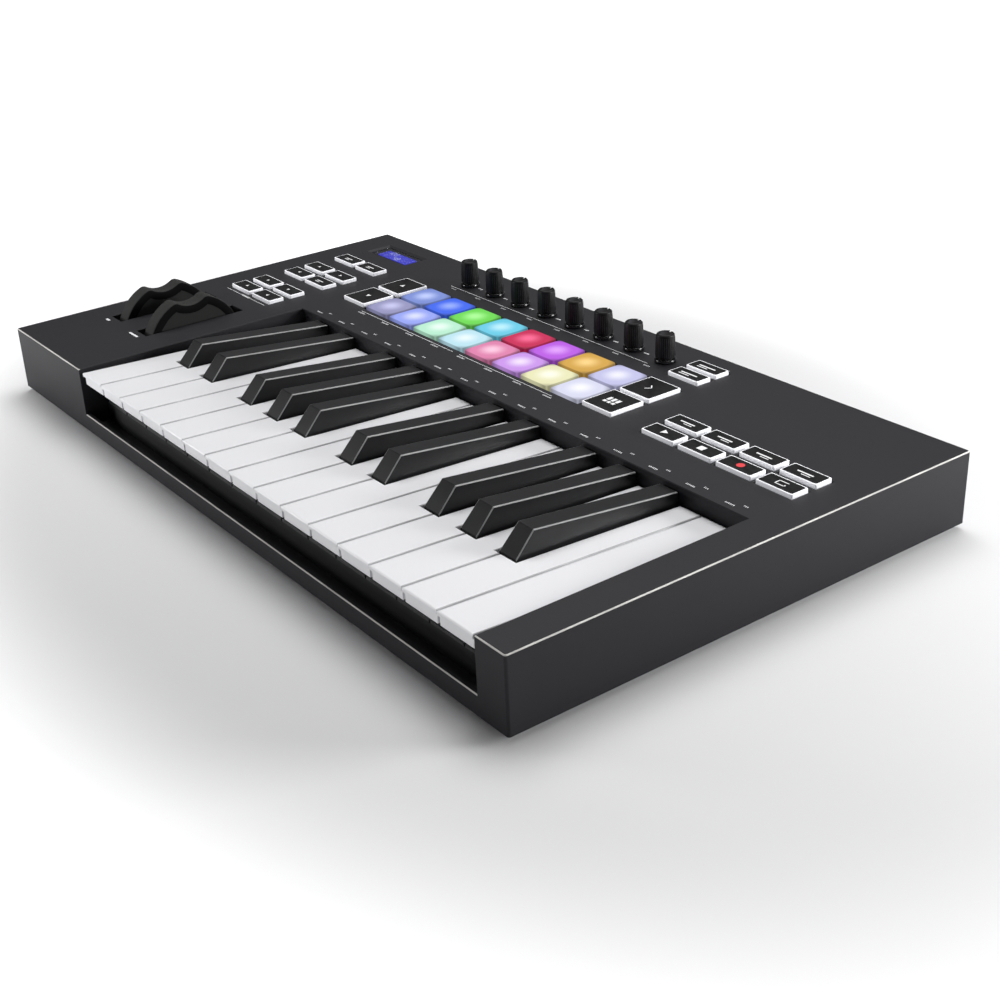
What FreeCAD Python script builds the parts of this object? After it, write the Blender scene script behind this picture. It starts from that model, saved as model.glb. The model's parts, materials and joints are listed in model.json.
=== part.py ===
import FreeCAD, Part
import math
import os

# A two-octave controller keyboard: twenty-five keys, two wheels, eight knobs, sixteen pads
# and twenty-four buttons in a flat plastic case that stands on rubber feet.
#
# X runs left to right, Y from the player to the back, Z up from the table.
# The drawing helpers take y back from the case front and z up from the case underside.

os.makedirs("parts", exist_ok=True)

# ------------------------------------------------------------------ case
CASE_D = 258.0
CASE_H = 35.5
FOOT_H = 3.0
WALL = 2.5                  # side, front and back walls
PANEL_T = 2.5               # top panel
FLOOR_T = 2.5               # bottom cover
CORNER_R = 1.2              # upright corners
EDGE_R = 0.7                # rounded top edge
LIP_H = 9.5                 # front lip under the keys
LIP_CHAMFER = 0.45
FLOOR_GAP = 0.2             # bottom cover inside the walls
HOLE_CHAMFER = 0.35
RIB_T = 1.8                 # stiffening ribs on the bottom cover
RIB_H = 3.0
RIB_INSET = 20.0            # rib ends from the case sides
RIB_BEHIND_KEYS = 12.0      # front rib behind the keys' tails
RIB_FROM_BACK = 42.0
OVERLAP = 0.5               # how far joined pieces reach into each other

# ------------------------------------------------------------------ keys
WHITE_PITCH = 23.5
WHITE_COUNT = 15
KEY_GAP = 0.6               # between neighbouring white keys
WELL_GAP = 2.15             # end keys to the well walls
LEFT_CHEEK_W = 88.8         # case side to the key well, with the wheels in it
RIGHT_CHEEK_W = 18.4
WELL_D = 139.5              # case front to the back of the key well
KEY_FRONT = 1.0
KEY_NOSE_H = 1.9            # front edge of the key's top plate
KEY_NOSE = 1.0              # its overhang past the fascia
FASCIA_SIDE = 0.6           # the fascia is this much narrower on each side
KEY_BACK_GAP = 1.0          # end of the key tops to the well's back wall
KEY_TOP_Z = 34.1            # white key surface at the front edge
KEY_FASCIA_H = 6.6
FASCIA_FOOT = 1.6           # flat lower edge of the fascia
FASCIA_RAMP = 3.0           # from the fascia's front to where the side walls are deeper
FASCIA_DROP = 2.0           # that much deeper
KEY_BELLY_Y = 22.0          # lowest point of the side walls behind the fascia
KEY_BELLY_Z = 23.5
KEY_SLOPE = 0.050           # the key tops fall towards the back
KEY_SHELL = 1.8
KEY_EDGE_R = 0.8
NOTCH_FRONT = 49.3          # where the black keys' cut-outs begin
NOTCH_W = 14.0
BLACK_W = 11.4              # at the white key surface
BLACK_TOP_W = 10.2
BLACK_FOOT_GAP = 1.2
BLACK_BELLY_Z = 20.5        # underside at the front
BLACK_RISE = 10.4           # height of the sloping front face
BLACK_RUN = 9.8
BLACK_SLOPE = 0.113
BLACK_EDGE_R = 0.7
BLACK_OFFSETS = {0: -2.0, 1: 2.0, 3: -3.3, 4: 0.0, 5: 3.3}    # from the white keys' joint line

# key tails, pivot rod and stops
TAIL_STEP_Z = 25.0
TAIL_END_Z = 23.0
TAIL_BOTTOM_Z = 13.0
TAIL_BEFORE = 10.0          # flat underside in front of the pivot
TAIL_RISE = 4.6             # the underside rises from there to the skirt
PIVOT_Y = 158.0
PIVOT_Z = 18.0
PIVOT_R = 1.5
PIVOT_CLEARANCE = 0.06
TAIL_BEHIND = 10.0          # tail length behind the pivot
KEY_TRAVEL_DEG = 3.6
STOP_GAP = 0.4

# ------------------------------------------------------------------ keybed chassis
CHASSIS_T = 2.0
CHASSIS_SIDE_GAP = 0.6
CHASSIS_FRONT = 13.0
CHASSIS_WALL_T = 3.0
FRONT_RAIL_Z = 13.2
REAR_RAIL_D = 5.0
CHASSIS_BACK_GAP = 3.0      # keys' tails to the rear wall
LEDGE_D = 2.0               # ledges under the contact board
GUIDE_W = 4.4               # guide stubs inside the white keys' front ends
GUIDE_D = 4.0
GUIDE_RISE = 5.0
CHASSIS_BOSS_Y = 17.0       # front bosses, from the chassis front
CHASSIS_BOSS_H = 7.0
PRESS_FIT = 0.02            # rod in its posts
FELT_T = 1.4
FELT_INSET = 0.5            # felt inside its rails
COMB_T = 0.5                # spring steel sheet
COMB_FINGER_W = 5.2
COMB_TIP = 3.0              # finger tips behind the pivot
POST_W = 5.4
POST_D = 7.0
POST_TOP_GAP = 2.4
CONTACT_Y = 96.0
CONTACT_D = 24.0
BOARD_T = 1.6
CONTACT_BOARD_Z = 9.5
DOME_R = 3.2
DOME_GAP = 0.4              # under a fully pressed key
PLUNGER_W = 3.6
PLUNGER_Z = 19.6
CONTACT_STRIP_INSET = 5.0
CONTACT_STRIP_T = 0.9
DOME_TAPER = 1.0

# ------------------------------------------------------------------ wheels
WHEEL_R = 29.2
WHEEL_W = 10.5
WHEEL_Y = 81.3
WHEEL_DROP = 13.6           # axle below the panel surface
WHEEL_X = (26.8, 60.2)      # from the case's left side: pitch, modulation
WHEEL_SLOT_W = 13.0
WHEEL_SLOT_D = 61.4
WHEEL_DIP_R = 14.8
WHEEL_DIP_Z = 24.3          # axle to the bottom of the thumb dip
WHEEL_RIM = 5.0
WHEEL_RECESS = 1.2
WHEEL_FLOOR = 4.0           # flat underside, below the axle
HUB_R = 8.0
HUMP_R = 2.6                # rounding on both sides of the dip
WHEEL_EDGE_R = 0.8
RECESS_FLOOR = 2.0          # flat end of the recess, below the axle
AXLE_R = 3.0
AXLE_CLEARANCE = 0.06
AXLE_END = 4.0              # axle past the bracket
BRACKET_T = 2.0
BRACKET_GAP = 0.5           # slot side to bracket cheek
BRACKET_MARGIN = 6.0        # flange past the slots' ends
BRACKET_SIDE = 3.0          # flange past the outer cheeks
CHEEK_TOP_W = 32.0
CHEEK_FOOT_W = 14.0
CHEEK_DROP = 6.0            # cheek below the axle
SENSOR_W = 13.0
SENSOR_T = 6.5
SENSOR_LEG_W = 8.0
SENSOR_LEG_L = 4.0
SPRING_WIRE_R = 0.4
SPRING_TURNS = 4
SPRING_PITCH = 0.72         # a little under the wire, so that the turns join
SPRING_CLEARANCE = 0.6
SPRING_LEG = 8.0

# ------------------------------------------------------------------ controls on the panel
GRID_PITCH_X = 24.1
GRID_PITCH_Y = 24.2
GRID_X0 = 101.3             # from the case's left side to the first grid column
GRID_Y0 = 37.9              # from the key well's back to the first grid row
PAD_W = 23.0
PAD_RISE = 1.5
PAD_COLUMNS = 8
PAD_ROWS = 2
PAD_TRAVEL = 0.6
BIG_BUTTON_W = 21.4
BUTTON_W = 21.2
BUTTON_D = 10.2
PAGE_BUTTON_D = 9.6
BUTTON_RISE = 1.8
BUTTON_TRAVEL = 0.8
BUTTON_CLEARANCE = 0.35
BUTTON_CORNER_R = 0.8
PAD_CORNER_R = 1.6
CAP_EDGE_R = 0.6            # rounded top edge of pads and buttons
PAGE_PITCH_Y = 12.6
LEFT_COLUMN_X = 33.3        # from the case's left side
LEFT_PITCH_X = 24.4
LEFT_ROWS = (-5.5, 8.9, 31.2, 45.7, 67.8)       # from the key well's back
RIGHT_COLUMN_X = 29.5       # from the case's right side
RIGHT_PITCH_X = 24.15
RIGHT_ROWS = (31.2, 45.7)
RIGHT_COLUMNS = 4
MAT_WEB_T = 1.3
MAT_MARGIN = 3.0
BANK_MARGIN = 0.7           # where two mats lie side by side
KNOB_ROW_Y = 94.5           # from the key well's back
KNOB_R = 5.65
KNOB_BODY_R = 5.3
KNOB_TOP_R = 4.9
KNOB_H = 15.0
KNOB_SKIRT_H = 1.5
KNOB_LIFT = 0.5
KNOB_BORE_H = 9.0
KNOB_SKIRT_EDGE_R = 0.5
KNOB_EDGE_R = 0.6
POINTER_W = 0.9
POINTER_DEPTH = 0.4
POINTER_START = 1.0         # from the knob's axis
POINTER_FOOT = 4.0          # from the knob's underside
SHAFT_R = 3.0
SHAFT_CLEARANCE = 0.06
BUSHING_R = 3.5
BUSHING_DROP = 0.2          # bushing end below the panel surface
BUSHING_CLEARANCE = 0.1
SHAFT_TIP_GAP = 0.5         # shaft end to the bottom of the knob's bore
DISPLAY_X = 43.2            # from the case's left side
DISPLAY_Y = 97.0            # from the key well's back
DISPLAY_W = 42.0
DISPLAY_D = 18.0
DISPLAY_BEVEL = 1.9
DISPLAY_BEVEL_H = 0.9
LENS_T = 1.0
LENS_LEDGE = 1.1
LENS_GAP = 0.2
SCREEN_GAP = 0.05           # screen under the lens
SCREEN_SIDE = 0.3           # screen inside its window
DISPLAY_FRAME_GAP = 0.5

# ------------------------------------------------------------------ inside
BOARD_Z = 27.0
BOARD_BACK_GAP = 9.5        # back wall to the board, clear of the rear bosses
BOARD_SIDE_GAP = 13.5
BOARD_FRONT = 23.0          # from the key well's back
BOARD_WING_FRONT = -17.0
BOARD_WING_W = 74.0
ENCODER_W = 9.6
ENCODER_H = 7.0
CHIP_W = 10.0
CHIP_T = 1.4
CHIP_XS = (-70.0, 20.0, 150.0)
CHIP_FROM_BACK = 26.0
PROCESSOR_X = 70.0
PROCESSOR_W = 20.0
PROCESSOR_T = 1.8
PROCESSOR_FROM_BACK = 24.0
BOSS_R = 3.6
SCREW_R = 1.5
SCREW_L = 11.0
SCREW_HEAD_R = 2.9
SCREW_HEAD_H = 1.8
SCREW_CLEARANCE = 0.2
SCREW_SEAT = 2.6            # depth of the screw heads' recesses
THREAD_FIT = 0.03           # pilot hole over the screw
DRIVE_L = 3.4               # cross recess in the heads
DRIVE_W = 0.7
DRIVE_DEPTH = 1.0
SHORT_HEAD_H = 1.1          # keybed screws, heads let into the cover
SHORT_HEAD_SEAT = 1.2
SHORT_SCREW_L = 6.5
SHORT_DRIVE_DEPTH = 0.6
BOSS_CLEARANCE = 0.3        # boss seats to the walls
FRONT_BOSS_BACK = 2.0       # front bosses further back than the side ones are in
BOSS_BEFORE_WELL_END = 10.0
REAR_BOSS_SHARES = (0.36, 0.62)
CUP_R = 4.9                 # raised seats that the bosses stand on
CUP_H = 2.5
FOOT_R = 8.0
FOOT_EDGE_R = 0.8
FOOT_INSET_X = 30.0
FOOT_INSET_Y = 22.0

# ------------------------------------------------------------------ rear sockets
USB_X = 40.0                # from the case's left side
USB_W = 12.0
USB_H = 10.9
USB_CAVITY_W = 8.6
USB_CAVITY_H = 7.9
USB_DEPTH = 16.0
USB_CAVITY_DEPTH = 10.0
USB_TONGUE_W = 5.6
USB_TONGUE_H = 3.2
USB_TONGUE_TIP = 4.8        # from the mouth
MIDI_X = 75.0
MIDI_W = 20.0
MIDI_DEPTH = 13.0
MIDI_R = 7.4
MIDI_COLLAR_T = 1.3
MIDI_CAVITY_DEPTH = 9.0
MIDI_INSERT_DEPTH = 5.0     # insert's face from the mouth
MIDI_INSERT_GAP = 1.6
MIDI_PINS = 5
MIDI_PIN_CIRCLE_R = 4.0
MIDI_PIN_R = 0.9
MIDI_PIN_DEPTH = 8.5
JACK_X = 112.0
JACK_BORE_R = 3.25
JACK_COLLAR_R = 5.4
JACK_W = 15.0
JACK_H = 14.0
JACK_DEPTH = 26.0
SOCKET_INSET = 0.4          # socket faces inside the back wall's face
SOCKET_CLEARANCE = 0.3

# ------------------------------------------------------------------ places worked out from the above
KEYS_W = WHITE_PITCH * WHITE_COUNT
CASE_W = LEFT_CHEEK_W + WELL_GAP + KEYS_W + WELL_GAP + RIGHT_CHEEK_W
LEFT = -CASE_W / 2
RIGHT = CASE_W / 2
FRONT = -CASE_D / 2
BASE = FOOT_H
PANEL_UNDER = CASE_H - PANEL_T
WELL_L = LEFT + LEFT_CHEEK_W
WELL_R = RIGHT - RIGHT_CHEEK_W
KEYS_L = WELL_L + WELL_GAP
KEY_BACK = WELL_D - KEY_BACK_GAP
TAIL_END = PIVOT_Y + TAIL_BEHIND
WHEEL_Z = CASE_H - WHEEL_DROP
WHEEL_XS = [LEFT + x for x in WHEEL_X]
GRID_XS = [LEFT + GRID_X0 + GRID_PITCH_X * i for i in range(PAD_COLUMNS + 2)]
GRID_YS = [WELL_D + GRID_Y0 + GRID_PITCH_Y * i for i in range(PAD_ROWS)]
KNOB_XS = GRID_XS[1:-1]
KNOB_Y = WELL_D + KNOB_ROW_Y
LEFT_XS = [LEFT + LEFT_COLUMN_X, LEFT + LEFT_COLUMN_X + LEFT_PITCH_X]
LEFT_YS = [WELL_D + y for y in LEFT_ROWS]
RIGHT_XS = [RIGHT - RIGHT_COLUMN_X - RIGHT_PITCH_X * i for i in range(RIGHT_COLUMNS)]
RIGHT_YS = [WELL_D + y for y in RIGHT_ROWS]
PAGE_YS = [KNOB_Y - PAGE_PITCH_Y / 2, KNOB_Y + PAGE_PITCH_Y / 2]
BOARD_TOP = BOARD_Z + BOARD_T
SKIRT_Z = TAIL_STEP_Z + 1.5
TRAVEL = math.radians(KEY_TRAVEL_DEG)

SMALL = 1e-4


# ------------------------------------------------------------------ drawing helpers
def block(x0, x1, y0, y1, z0, z1):
    """Box; y back from the case front, z up from the case underside."""
    corner = FreeCAD.Vector(x0, FRONT + y0, BASE + z0)
    return Part.makeBox(x1 - x0, y1 - y0, z1 - z0, corner)


def post(x, y, z0, z1, radius, top_radius=None):
    """Upright cylinder, or cone where it has a top radius."""
    foot = FreeCAD.Vector(x, FRONT + y, BASE + z0)
    if top_radius is None:
        return Part.makeCylinder(radius, z1 - z0, foot)
    return Part.makeCone(radius, top_radius, z1 - z0, foot)


def axle(x0, x1, y, z, radius):
    """Cylinder along X."""
    start = FreeCAD.Vector(x0, FRONT + y, BASE + z)
    return Part.makeCylinder(radius, x1 - x0, start, FreeCAD.Vector(1, 0, 0))


def barrel(x, z, y0, y1, radius):
    """Cylinder along Y."""
    start = FreeCAD.Vector(x, FRONT + y0, BASE + z)
    return Part.makeCylinder(radius, y1 - y0, start, FreeCAD.Vector(0, 1, 0))


def side_profile(points, x0, x1):
    """Prism between x0 and x1 whose outline is a list of (y, z)."""
    outline = [FreeCAD.Vector(x0, FRONT + y, BASE + z) for y, z in points]
    face = Part.Face(Part.makePolygon(outline + outline[:1]))
    return face.extrude(FreeCAD.Vector(x1 - x0, 0, 0))


def front_profile(points, y0, y1):
    """Prism between y0 and y1 whose outline is a list of (x, z)."""
    outline = [FreeCAD.Vector(x, FRONT + y0, BASE + z) for x, z in points]
    face = Part.Face(Part.makePolygon(outline + outline[:1]))
    return face.extrude(FreeCAD.Vector(0, y1 - y0, 0))


def flare(x0, x1, y0, y1, z0, z1, grow):
    """Four-sided frustum that is larger by grow all round at its top."""
    wires = []
    for z, more in ((z0, 0.0), (z1, grow)):
        corners = [(x0 - more, y0 - more), (x1 + more, y0 - more),
                   (x1 + more, y1 + more), (x0 - more, y1 + more)]
        outline = [FreeCAD.Vector(x, FRONT + y, BASE + z) for x, y in corners]
        wires.append(Part.makePolygon(outline + outline[:1]))
    return Part.makeLoft(wires, True, True)


def joined(pieces):
    """One solid from pieces that touch or overlap."""
    whole = pieces[0]
    if len(pieces) > 1:
        whole = whole.multiFuse(pieces[1:])
    return whole.removeSplitter()


def is_upright(edge):
    start = edge.Vertexes[0].Point
    end = edge.Vertexes[-1].Point
    return abs(start.x - end.x) < SMALL and abs(start.y - end.y) < SMALL and abs(start.z - end.z) > SMALL


def is_at_height(edge, z):
    return all(abs(vertex.Point.z - BASE - z) < SMALL for vertex in edge.Vertexes)


def rounded_block(x0, x1, y0, y1, z0, z1, corner_r, top_r):
    """Box with rounded upright corners and a rounded top edge."""
    solid = block(x0, x1, y0, y1, z0, z1)
    solid = solid.makeFillet(corner_r, [edge for edge in solid.Edges if is_upright(edge)])
    return solid.makeFillet(top_r, [edge for edge in solid.Edges if is_at_height(edge, z1)])


def save(name, pieces):
    """Write one node; several separate solids share it as a group."""
    shape = pieces
    if isinstance(pieces, list):
        shape = Part.makeCompound([solid for piece in pieces for solid in piece.Solids])
    elif len(pieces.Solids) == 1:
        shape = pieces.Solids[0]
    shape.exportStep("parts/" + name + ".step")


# ------------------------------------------------------------------ where things are fastened
def case_boss_places():
    """Screw bosses that join the bottom cover to the case."""
    side = WALL + FLOOR_GAP + CUP_R + BOSS_CLEARANCE
    right = (WELL_R + WALL + RIGHT - WALL) / 2
    back = CASE_D - side
    ys = (side + FRONT_BOSS_BACK, WELL_D - BOSS_BEFORE_WELL_END, back)
    side_places = [(x, y) for x in (LEFT + side, right) for y in ys]
    rear_places = [(LEFT + CASE_W * share, back) for share in REAR_BOSS_SHARES]
    return side_places + rear_places


def chassis_boss_places():
    """Screw bosses that hold the keybed down on the bottom cover."""
    xs = [KEYS_L + WHITE_PITCH, KEYS_L + KEYS_W / 2, KEYS_L + KEYS_W - WHITE_PITCH]
    return [(x, y) for x in xs for y in (CHASSIS_FRONT + CHASSIS_BOSS_Y, WELL_D - BOSS_BEFORE_WELL_END)]


def foot_places():
    xs = (LEFT + FOOT_INSET_X, 0.0, RIGHT - FOOT_INSET_X)
    return [(x, y) for x in xs for y in (FOOT_INSET_Y, CASE_D - FOOT_INSET_Y)]


# ------------------------------------------------------------------ what comes up through the panel
def left_buttons():
    """Four, four and two small buttons at the left: (x, y, width, depth)."""
    return [(x, y, BUTTON_W, BUTTON_D) for y in LEFT_YS for x in LEFT_XS]


def left_bank_buttons():
    return [(GRID_XS[0], y, BIG_BUTTON_W, BIG_BUTTON_W) for y in GRID_YS]


def right_bank_buttons():
    """Two large buttons beside the pads and two small ones behind them."""
    large = [(GRID_XS[-1], y, BIG_BUTTON_W, BIG_BUTTON_W) for y in GRID_YS]
    small = [(GRID_XS[-1], y, BUTTON_W, PAGE_BUTTON_D) for y in PAGE_YS]
    return large + small


def transport_buttons():
    return [(x, y, BUTTON_W, BUTTON_D) for y in RIGHT_YS for x in RIGHT_XS]


def pads():
    return [(x, y, PAD_W, PAD_W) for y in GRID_YS for x in GRID_XS[1:-1]]


def pad_window():
    """Outline of the opening that all the pads share."""
    margin = PAD_W / 2 + BUTTON_CLEARANCE
    return (GRID_XS[1] - margin, GRID_XS[-2] + margin, GRID_YS[0] - margin, GRID_YS[-1] + margin)


def window_cut(x0, x1, y0, y1):
    """Cut through the panel with a small chamfer round its top edge."""
    hole = block(x0, x1, y0, y1, PANEL_UNDER - 1, CASE_H + 1)
    rim = flare(x0, x1, y0, y1, CASE_H - HOLE_CHAMFER, CASE_H, HOLE_CHAMFER)
    return [hole, rim]


def button_cuts(buttons):
    cuts = []
    for x, y, width, depth in buttons:
        half_w = width / 2 + BUTTON_CLEARANCE
        half_d = depth / 2 + BUTTON_CLEARANCE
        cuts += window_cut(x - half_w, x + half_w, y - half_d, y + half_d)
    return cuts


def wheel_slot(x):
    half_w = WHEEL_SLOT_W / 2
    half_d = WHEEL_SLOT_D / 2
    return (x - half_w, x + half_w, WHEEL_Y - half_d, WHEEL_Y + half_d)


def display_outline(shrink):
    """Display recess outline, smaller by shrink all round."""
    x = LEFT + DISPLAY_X
    y = WELL_D + DISPLAY_Y
    half_w = DISPLAY_W / 2 - shrink
    half_d = DISPLAY_D / 2 - shrink
    return (x - half_w, x + half_w, y - half_d, y + half_d)


def usb_place():
    return (LEFT + USB_X, BOARD_Z - USB_H / 2)


def midi_place():
    return (LEFT + MIDI_X, BOARD_Z - MIDI_W / 2)


def jack_place():
    return (LEFT + JACK_X, BOARD_Z - JACK_H / 2)


# ------------------------------------------------------------------ case
def case_shell():
    outer = rounded_block(LEFT, RIGHT, 0, CASE_D, 0, CASE_H, CORNER_R, EDGE_R)
    inner = block(LEFT + WALL, RIGHT - WALL, WALL, CASE_D - WALL, -1, PANEL_UNDER)
    return outer.cut(inner)


def well_walls():
    """Cheek walls beside the keys and the skirt behind them."""
    left = block(WELL_L - WALL, WELL_L, WALL / 2, WELL_D + WALL, FLOOR_T, CASE_H - EDGE_R)
    right = block(WELL_R, WELL_R + WALL, WALL / 2, WELL_D + WALL, FLOOR_T, CASE_H - EDGE_R)
    skirt = block(WELL_L - WALL, WELL_R + WALL, WELL_D, WELL_D + WALL, SKIRT_Z, CASE_H - EDGE_R)
    return [left, right, skirt]


def rear_cuts():
    y0 = CASE_D - WALL - 1
    y1 = CASE_D + 1
    usb_x, usb_z = usb_place()
    half_w = USB_W / 2 + SOCKET_CLEARANCE
    half_h = USB_H / 2 + SOCKET_CLEARANCE
    usb = block(usb_x - half_w, usb_x + half_w, y0, y1, usb_z - half_h, usb_z + half_h)
    midi_x, midi_z = midi_place()
    midi = barrel(midi_x, midi_z, y0, y1, MIDI_R + MIDI_COLLAR_T + SOCKET_CLEARANCE)
    jack_x, jack_z = jack_place()
    jack = barrel(jack_x, jack_z, y0, y1, JACK_COLLAR_R + SOCKET_CLEARANCE)
    return [usb, midi, jack]


def panel_cuts():
    cuts = button_cuts(left_buttons() + left_bank_buttons() + right_bank_buttons() + transport_buttons())
    cuts += window_cut(*pad_window())
    for x in WHEEL_XS:
        cuts += window_cut(*wheel_slot(x))
    for x in KNOB_XS:
        cuts.append(post(x, KNOB_Y, PANEL_UNDER - 1, CASE_H + 1, BUSHING_R + SOCKET_CLEARANCE))
    seat = CASE_H - DISPLAY_BEVEL_H
    cuts.append(flare(*display_outline(DISPLAY_BEVEL), seat, CASE_H, DISPLAY_BEVEL))
    cuts.append(block(*display_outline(DISPLAY_BEVEL), seat - LENS_T, CASE_H))
    cuts.append(block(*display_outline(DISPLAY_BEVEL + LENS_LEDGE), PANEL_UNDER - 1, CASE_H))
    return cuts


def top_case():
    shell = case_shell()
    opening = block(WELL_L, WELL_R, -1, WELL_D, LIP_H, CASE_H + 1)
    lip_points = [(-1, LIP_H - LIP_CHAMFER - 1), (LIP_CHAMFER + 1, LIP_H + 1), (-1, LIP_H + 1)]
    lip_edge = side_profile(lip_points, WELL_L, WELL_R)
    edge = flare(WELL_L, WELL_R, -5, WELL_D, CASE_H - HOLE_CHAMFER, CASE_H, HOLE_CHAMFER)
    bosses = [post(x, y, FLOOR_T + CUP_H, CASE_H - PANEL_T / 2, BOSS_R) for x, y in case_boss_places()]
    body = joined([shell.cut(opening)] + well_walls() + bosses)
    pilots = [post(x, y, -1, FLOOR_T + CUP_H + SCREW_L, SCREW_R + THREAD_FIT)
              for x, y in case_boss_places()]
    return body.cut([edge, lip_edge] + panel_cuts() + rear_cuts() + pilots)


def screw_hole(x, y):
    seat = post(x, y, -1, SCREW_SEAT, SCREW_HEAD_R + SCREW_CLEARANCE)
    shank = post(x, y, -1, FLOOR_T + CUP_H + 1, SCREW_R + SCREW_CLEARANCE)
    return [seat, shank]


def bottom_case():
    gap = WALL + FLOOR_GAP
    plate = block(LEFT + gap, RIGHT - gap, gap, CASE_D - gap, 0, FLOOR_T)
    plate = plate.makeFillet(CORNER_R / 2, [edge for edge in plate.Edges if is_upright(edge)])
    cups = [post(x, y, 0, FLOOR_T + CUP_H, CUP_R) for x, y in case_boss_places()]
    rib_ys = (TAIL_END + RIB_BEHIND_KEYS, CASE_D - RIB_FROM_BACK)
    ribs = [block(LEFT + RIB_INSET, RIGHT - RIB_INSET, y, y + RIB_T, FLOOR_T - OVERLAP, FLOOR_T + RIB_H)
            for y in rib_ys]
    cuts = []
    for x, y in case_boss_places():
        cuts += screw_hole(x, y)
    for x, y in chassis_boss_places():
        cuts += chassis_screw_hole(x, y)
    return joined([plate] + cups + ribs).cut(cuts)


def chassis_screw_hole(x, y):
    """The keybed's screws sit on the outside of the cover."""
    return [post(x, y, -1, FLOOR_T + 1, SCREW_R + SCREW_CLEARANCE),
            post(x, y, -1, SHORT_HEAD_SEAT, SCREW_HEAD_R + SCREW_CLEARANCE)]


def screw(x, y, head_top, length):
    """Pan-head screw pointing up, with a cross recess in its head."""
    head = post(x, y, head_top - SCREW_HEAD_H, head_top, SCREW_HEAD_R)
    shank = post(x, y, head_top - OVERLAP, head_top + length, SCREW_R)
    half_l = DRIVE_L / 2
    half_w = DRIVE_W / 2
    drive_z = head_top - SCREW_HEAD_H
    bar_a = block(x - half_l, x + half_l, y - half_w, y + half_w, drive_z - 1, drive_z + DRIVE_DEPTH)
    bar_b = block(x - half_w, x + half_w, y - half_l, y + half_l, drive_z - 1, drive_z + DRIVE_DEPTH)
    return joined([head, shank]).cut([bar_a, bar_b])


def case_screws():
    long_ones = [screw(x, y, SCREW_SEAT, SCREW_L) for x, y in case_boss_places()]
    short_ones = [chassis_screw(x, y) for x, y in chassis_boss_places()]
    return long_ones + short_ones


def chassis_screw(x, y):
    """Screw with a thin slotted head."""
    head = post(x, y, SHORT_HEAD_SEAT - SHORT_HEAD_H, SHORT_HEAD_SEAT, SCREW_HEAD_R)
    shank = post(x, y, SHORT_HEAD_SEAT - OVERLAP, SHORT_HEAD_SEAT + SHORT_SCREW_L, SCREW_R)
    half_l = DRIVE_L / 2
    half_w = DRIVE_W / 2
    slot = block(x - half_l, x + half_l, y - half_w, y + half_w, -1, SHORT_DRIVE_DEPTH)
    return joined([head, shank]).cut(slot)


def rubber_feet():
    feet = []
    for x, y in foot_places():
        foot = post(x, y, -FOOT_H, 0, FOOT_R)
        rim = [edge for edge in foot.Edges if is_at_height(edge, -FOOT_H) and edge.Length > FOOT_R]
        feet.append(foot.makeFillet(FOOT_EDGE_R, rim))
    return feet


# ------------------------------------------------------------------ keys
def white_top(y):
    return KEY_TOP_Z - KEY_SLOPE * (y - KEY_FRONT)


def tail_points():
    """Outline of a key's tail from the step under the skirt round to its underside."""
    return [(KEY_BACK, TAIL_STEP_Z), (TAIL_END, TAIL_END_Z), (TAIL_END, TAIL_BOTTOM_Z),
            (PIVOT_Y - TAIL_BEFORE, TAIL_BOTTOM_Z), (KEY_BACK, TAIL_BOTTOM_Z + TAIL_RISE)]


def white_outline():
    fascia_z = KEY_TOP_Z - KEY_FASCIA_H
    fascia_y = KEY_FRONT + KEY_NOSE
    nose_z = KEY_TOP_Z - KEY_NOSE_H
    front = [(KEY_FRONT, KEY_TOP_Z), (KEY_BACK, white_top(KEY_BACK))]
    under = [(KEY_BELLY_Y, KEY_BELLY_Z), (fascia_y + FASCIA_RAMP, fascia_z - FASCIA_DROP),
             (fascia_y + FASCIA_FOOT, fascia_z), (fascia_y, fascia_z)]
    nose = [(fascia_y, nose_z), (KEY_FRONT, nose_z)]
    return front + tail_points() + under + nose


def white_space_outline():
    """The key's outline without its nose and the fascia's foot, for the hollow inside."""
    fascia_y = KEY_FRONT + KEY_NOSE
    belly_z = KEY_TOP_Z - KEY_FASCIA_H - FASCIA_DROP
    top = [(fascia_y, white_top(fascia_y)), (KEY_BACK, white_top(KEY_BACK))]
    return top + tail_points() + [(KEY_BELLY_Y, KEY_BELLY_Z), (fascia_y, belly_z)]


def black_front():
    return NOTCH_FRONT + BLACK_FOOT_GAP


def black_outline():
    y0 = black_front()
    foot_z = white_top(y0)
    y1 = y0 + BLACK_RUN
    top_z = foot_z + BLACK_RISE
    back_z = top_z - BLACK_SLOPE * (KEY_BACK - y1)
    front = [(y0, BLACK_BELLY_Z), (y0, foot_z), (y1, top_z), (KEY_BACK, back_z)]
    return front + tail_points()


def inset(points, depth):
    """The outline moved inwards by depth, taken round in a clockwise order of (y, z)."""
    count = len(points)
    result = []
    for i in range(count):
        before, here, after = points[i - 1], points[i], points[(i + 1) % count]
        first = unit(here[0] - before[0], here[1] - before[1])
        second = unit(after[0] - here[0], after[1] - here[1])
        normal_a = (first[1], -first[0])
        normal_b = (second[1], -second[0])
        spread = 1 + normal_a[0] * normal_b[0] + normal_a[1] * normal_b[1]
        shift_y = (normal_a[0] + normal_b[0]) / spread * depth
        shift_z = (normal_a[1] + normal_b[1]) / spread * depth
        result.append((here[0] + shift_y, here[1] + shift_z))
    return result


def unit(y, z):
    size = math.hypot(y, z)
    return (y / size, z / size)


def black_joint(index):
    """Which white key joint the black key follows, and its sideways offset."""
    octave, step = divmod(index, 5)
    joint = sorted(BLACK_OFFSETS)[step]
    return (octave * 7 + joint + 1, BLACK_OFFSETS[joint])


def black_count():
    octaves, rest = divmod(WHITE_COUNT - 1, 7)
    return octaves * 5 + sum(1 for joint in BLACK_OFFSETS if joint < rest)


def black_x(index):
    joint, offset = black_joint(index)
    return KEYS_L + joint * WHITE_PITCH + offset


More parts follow.
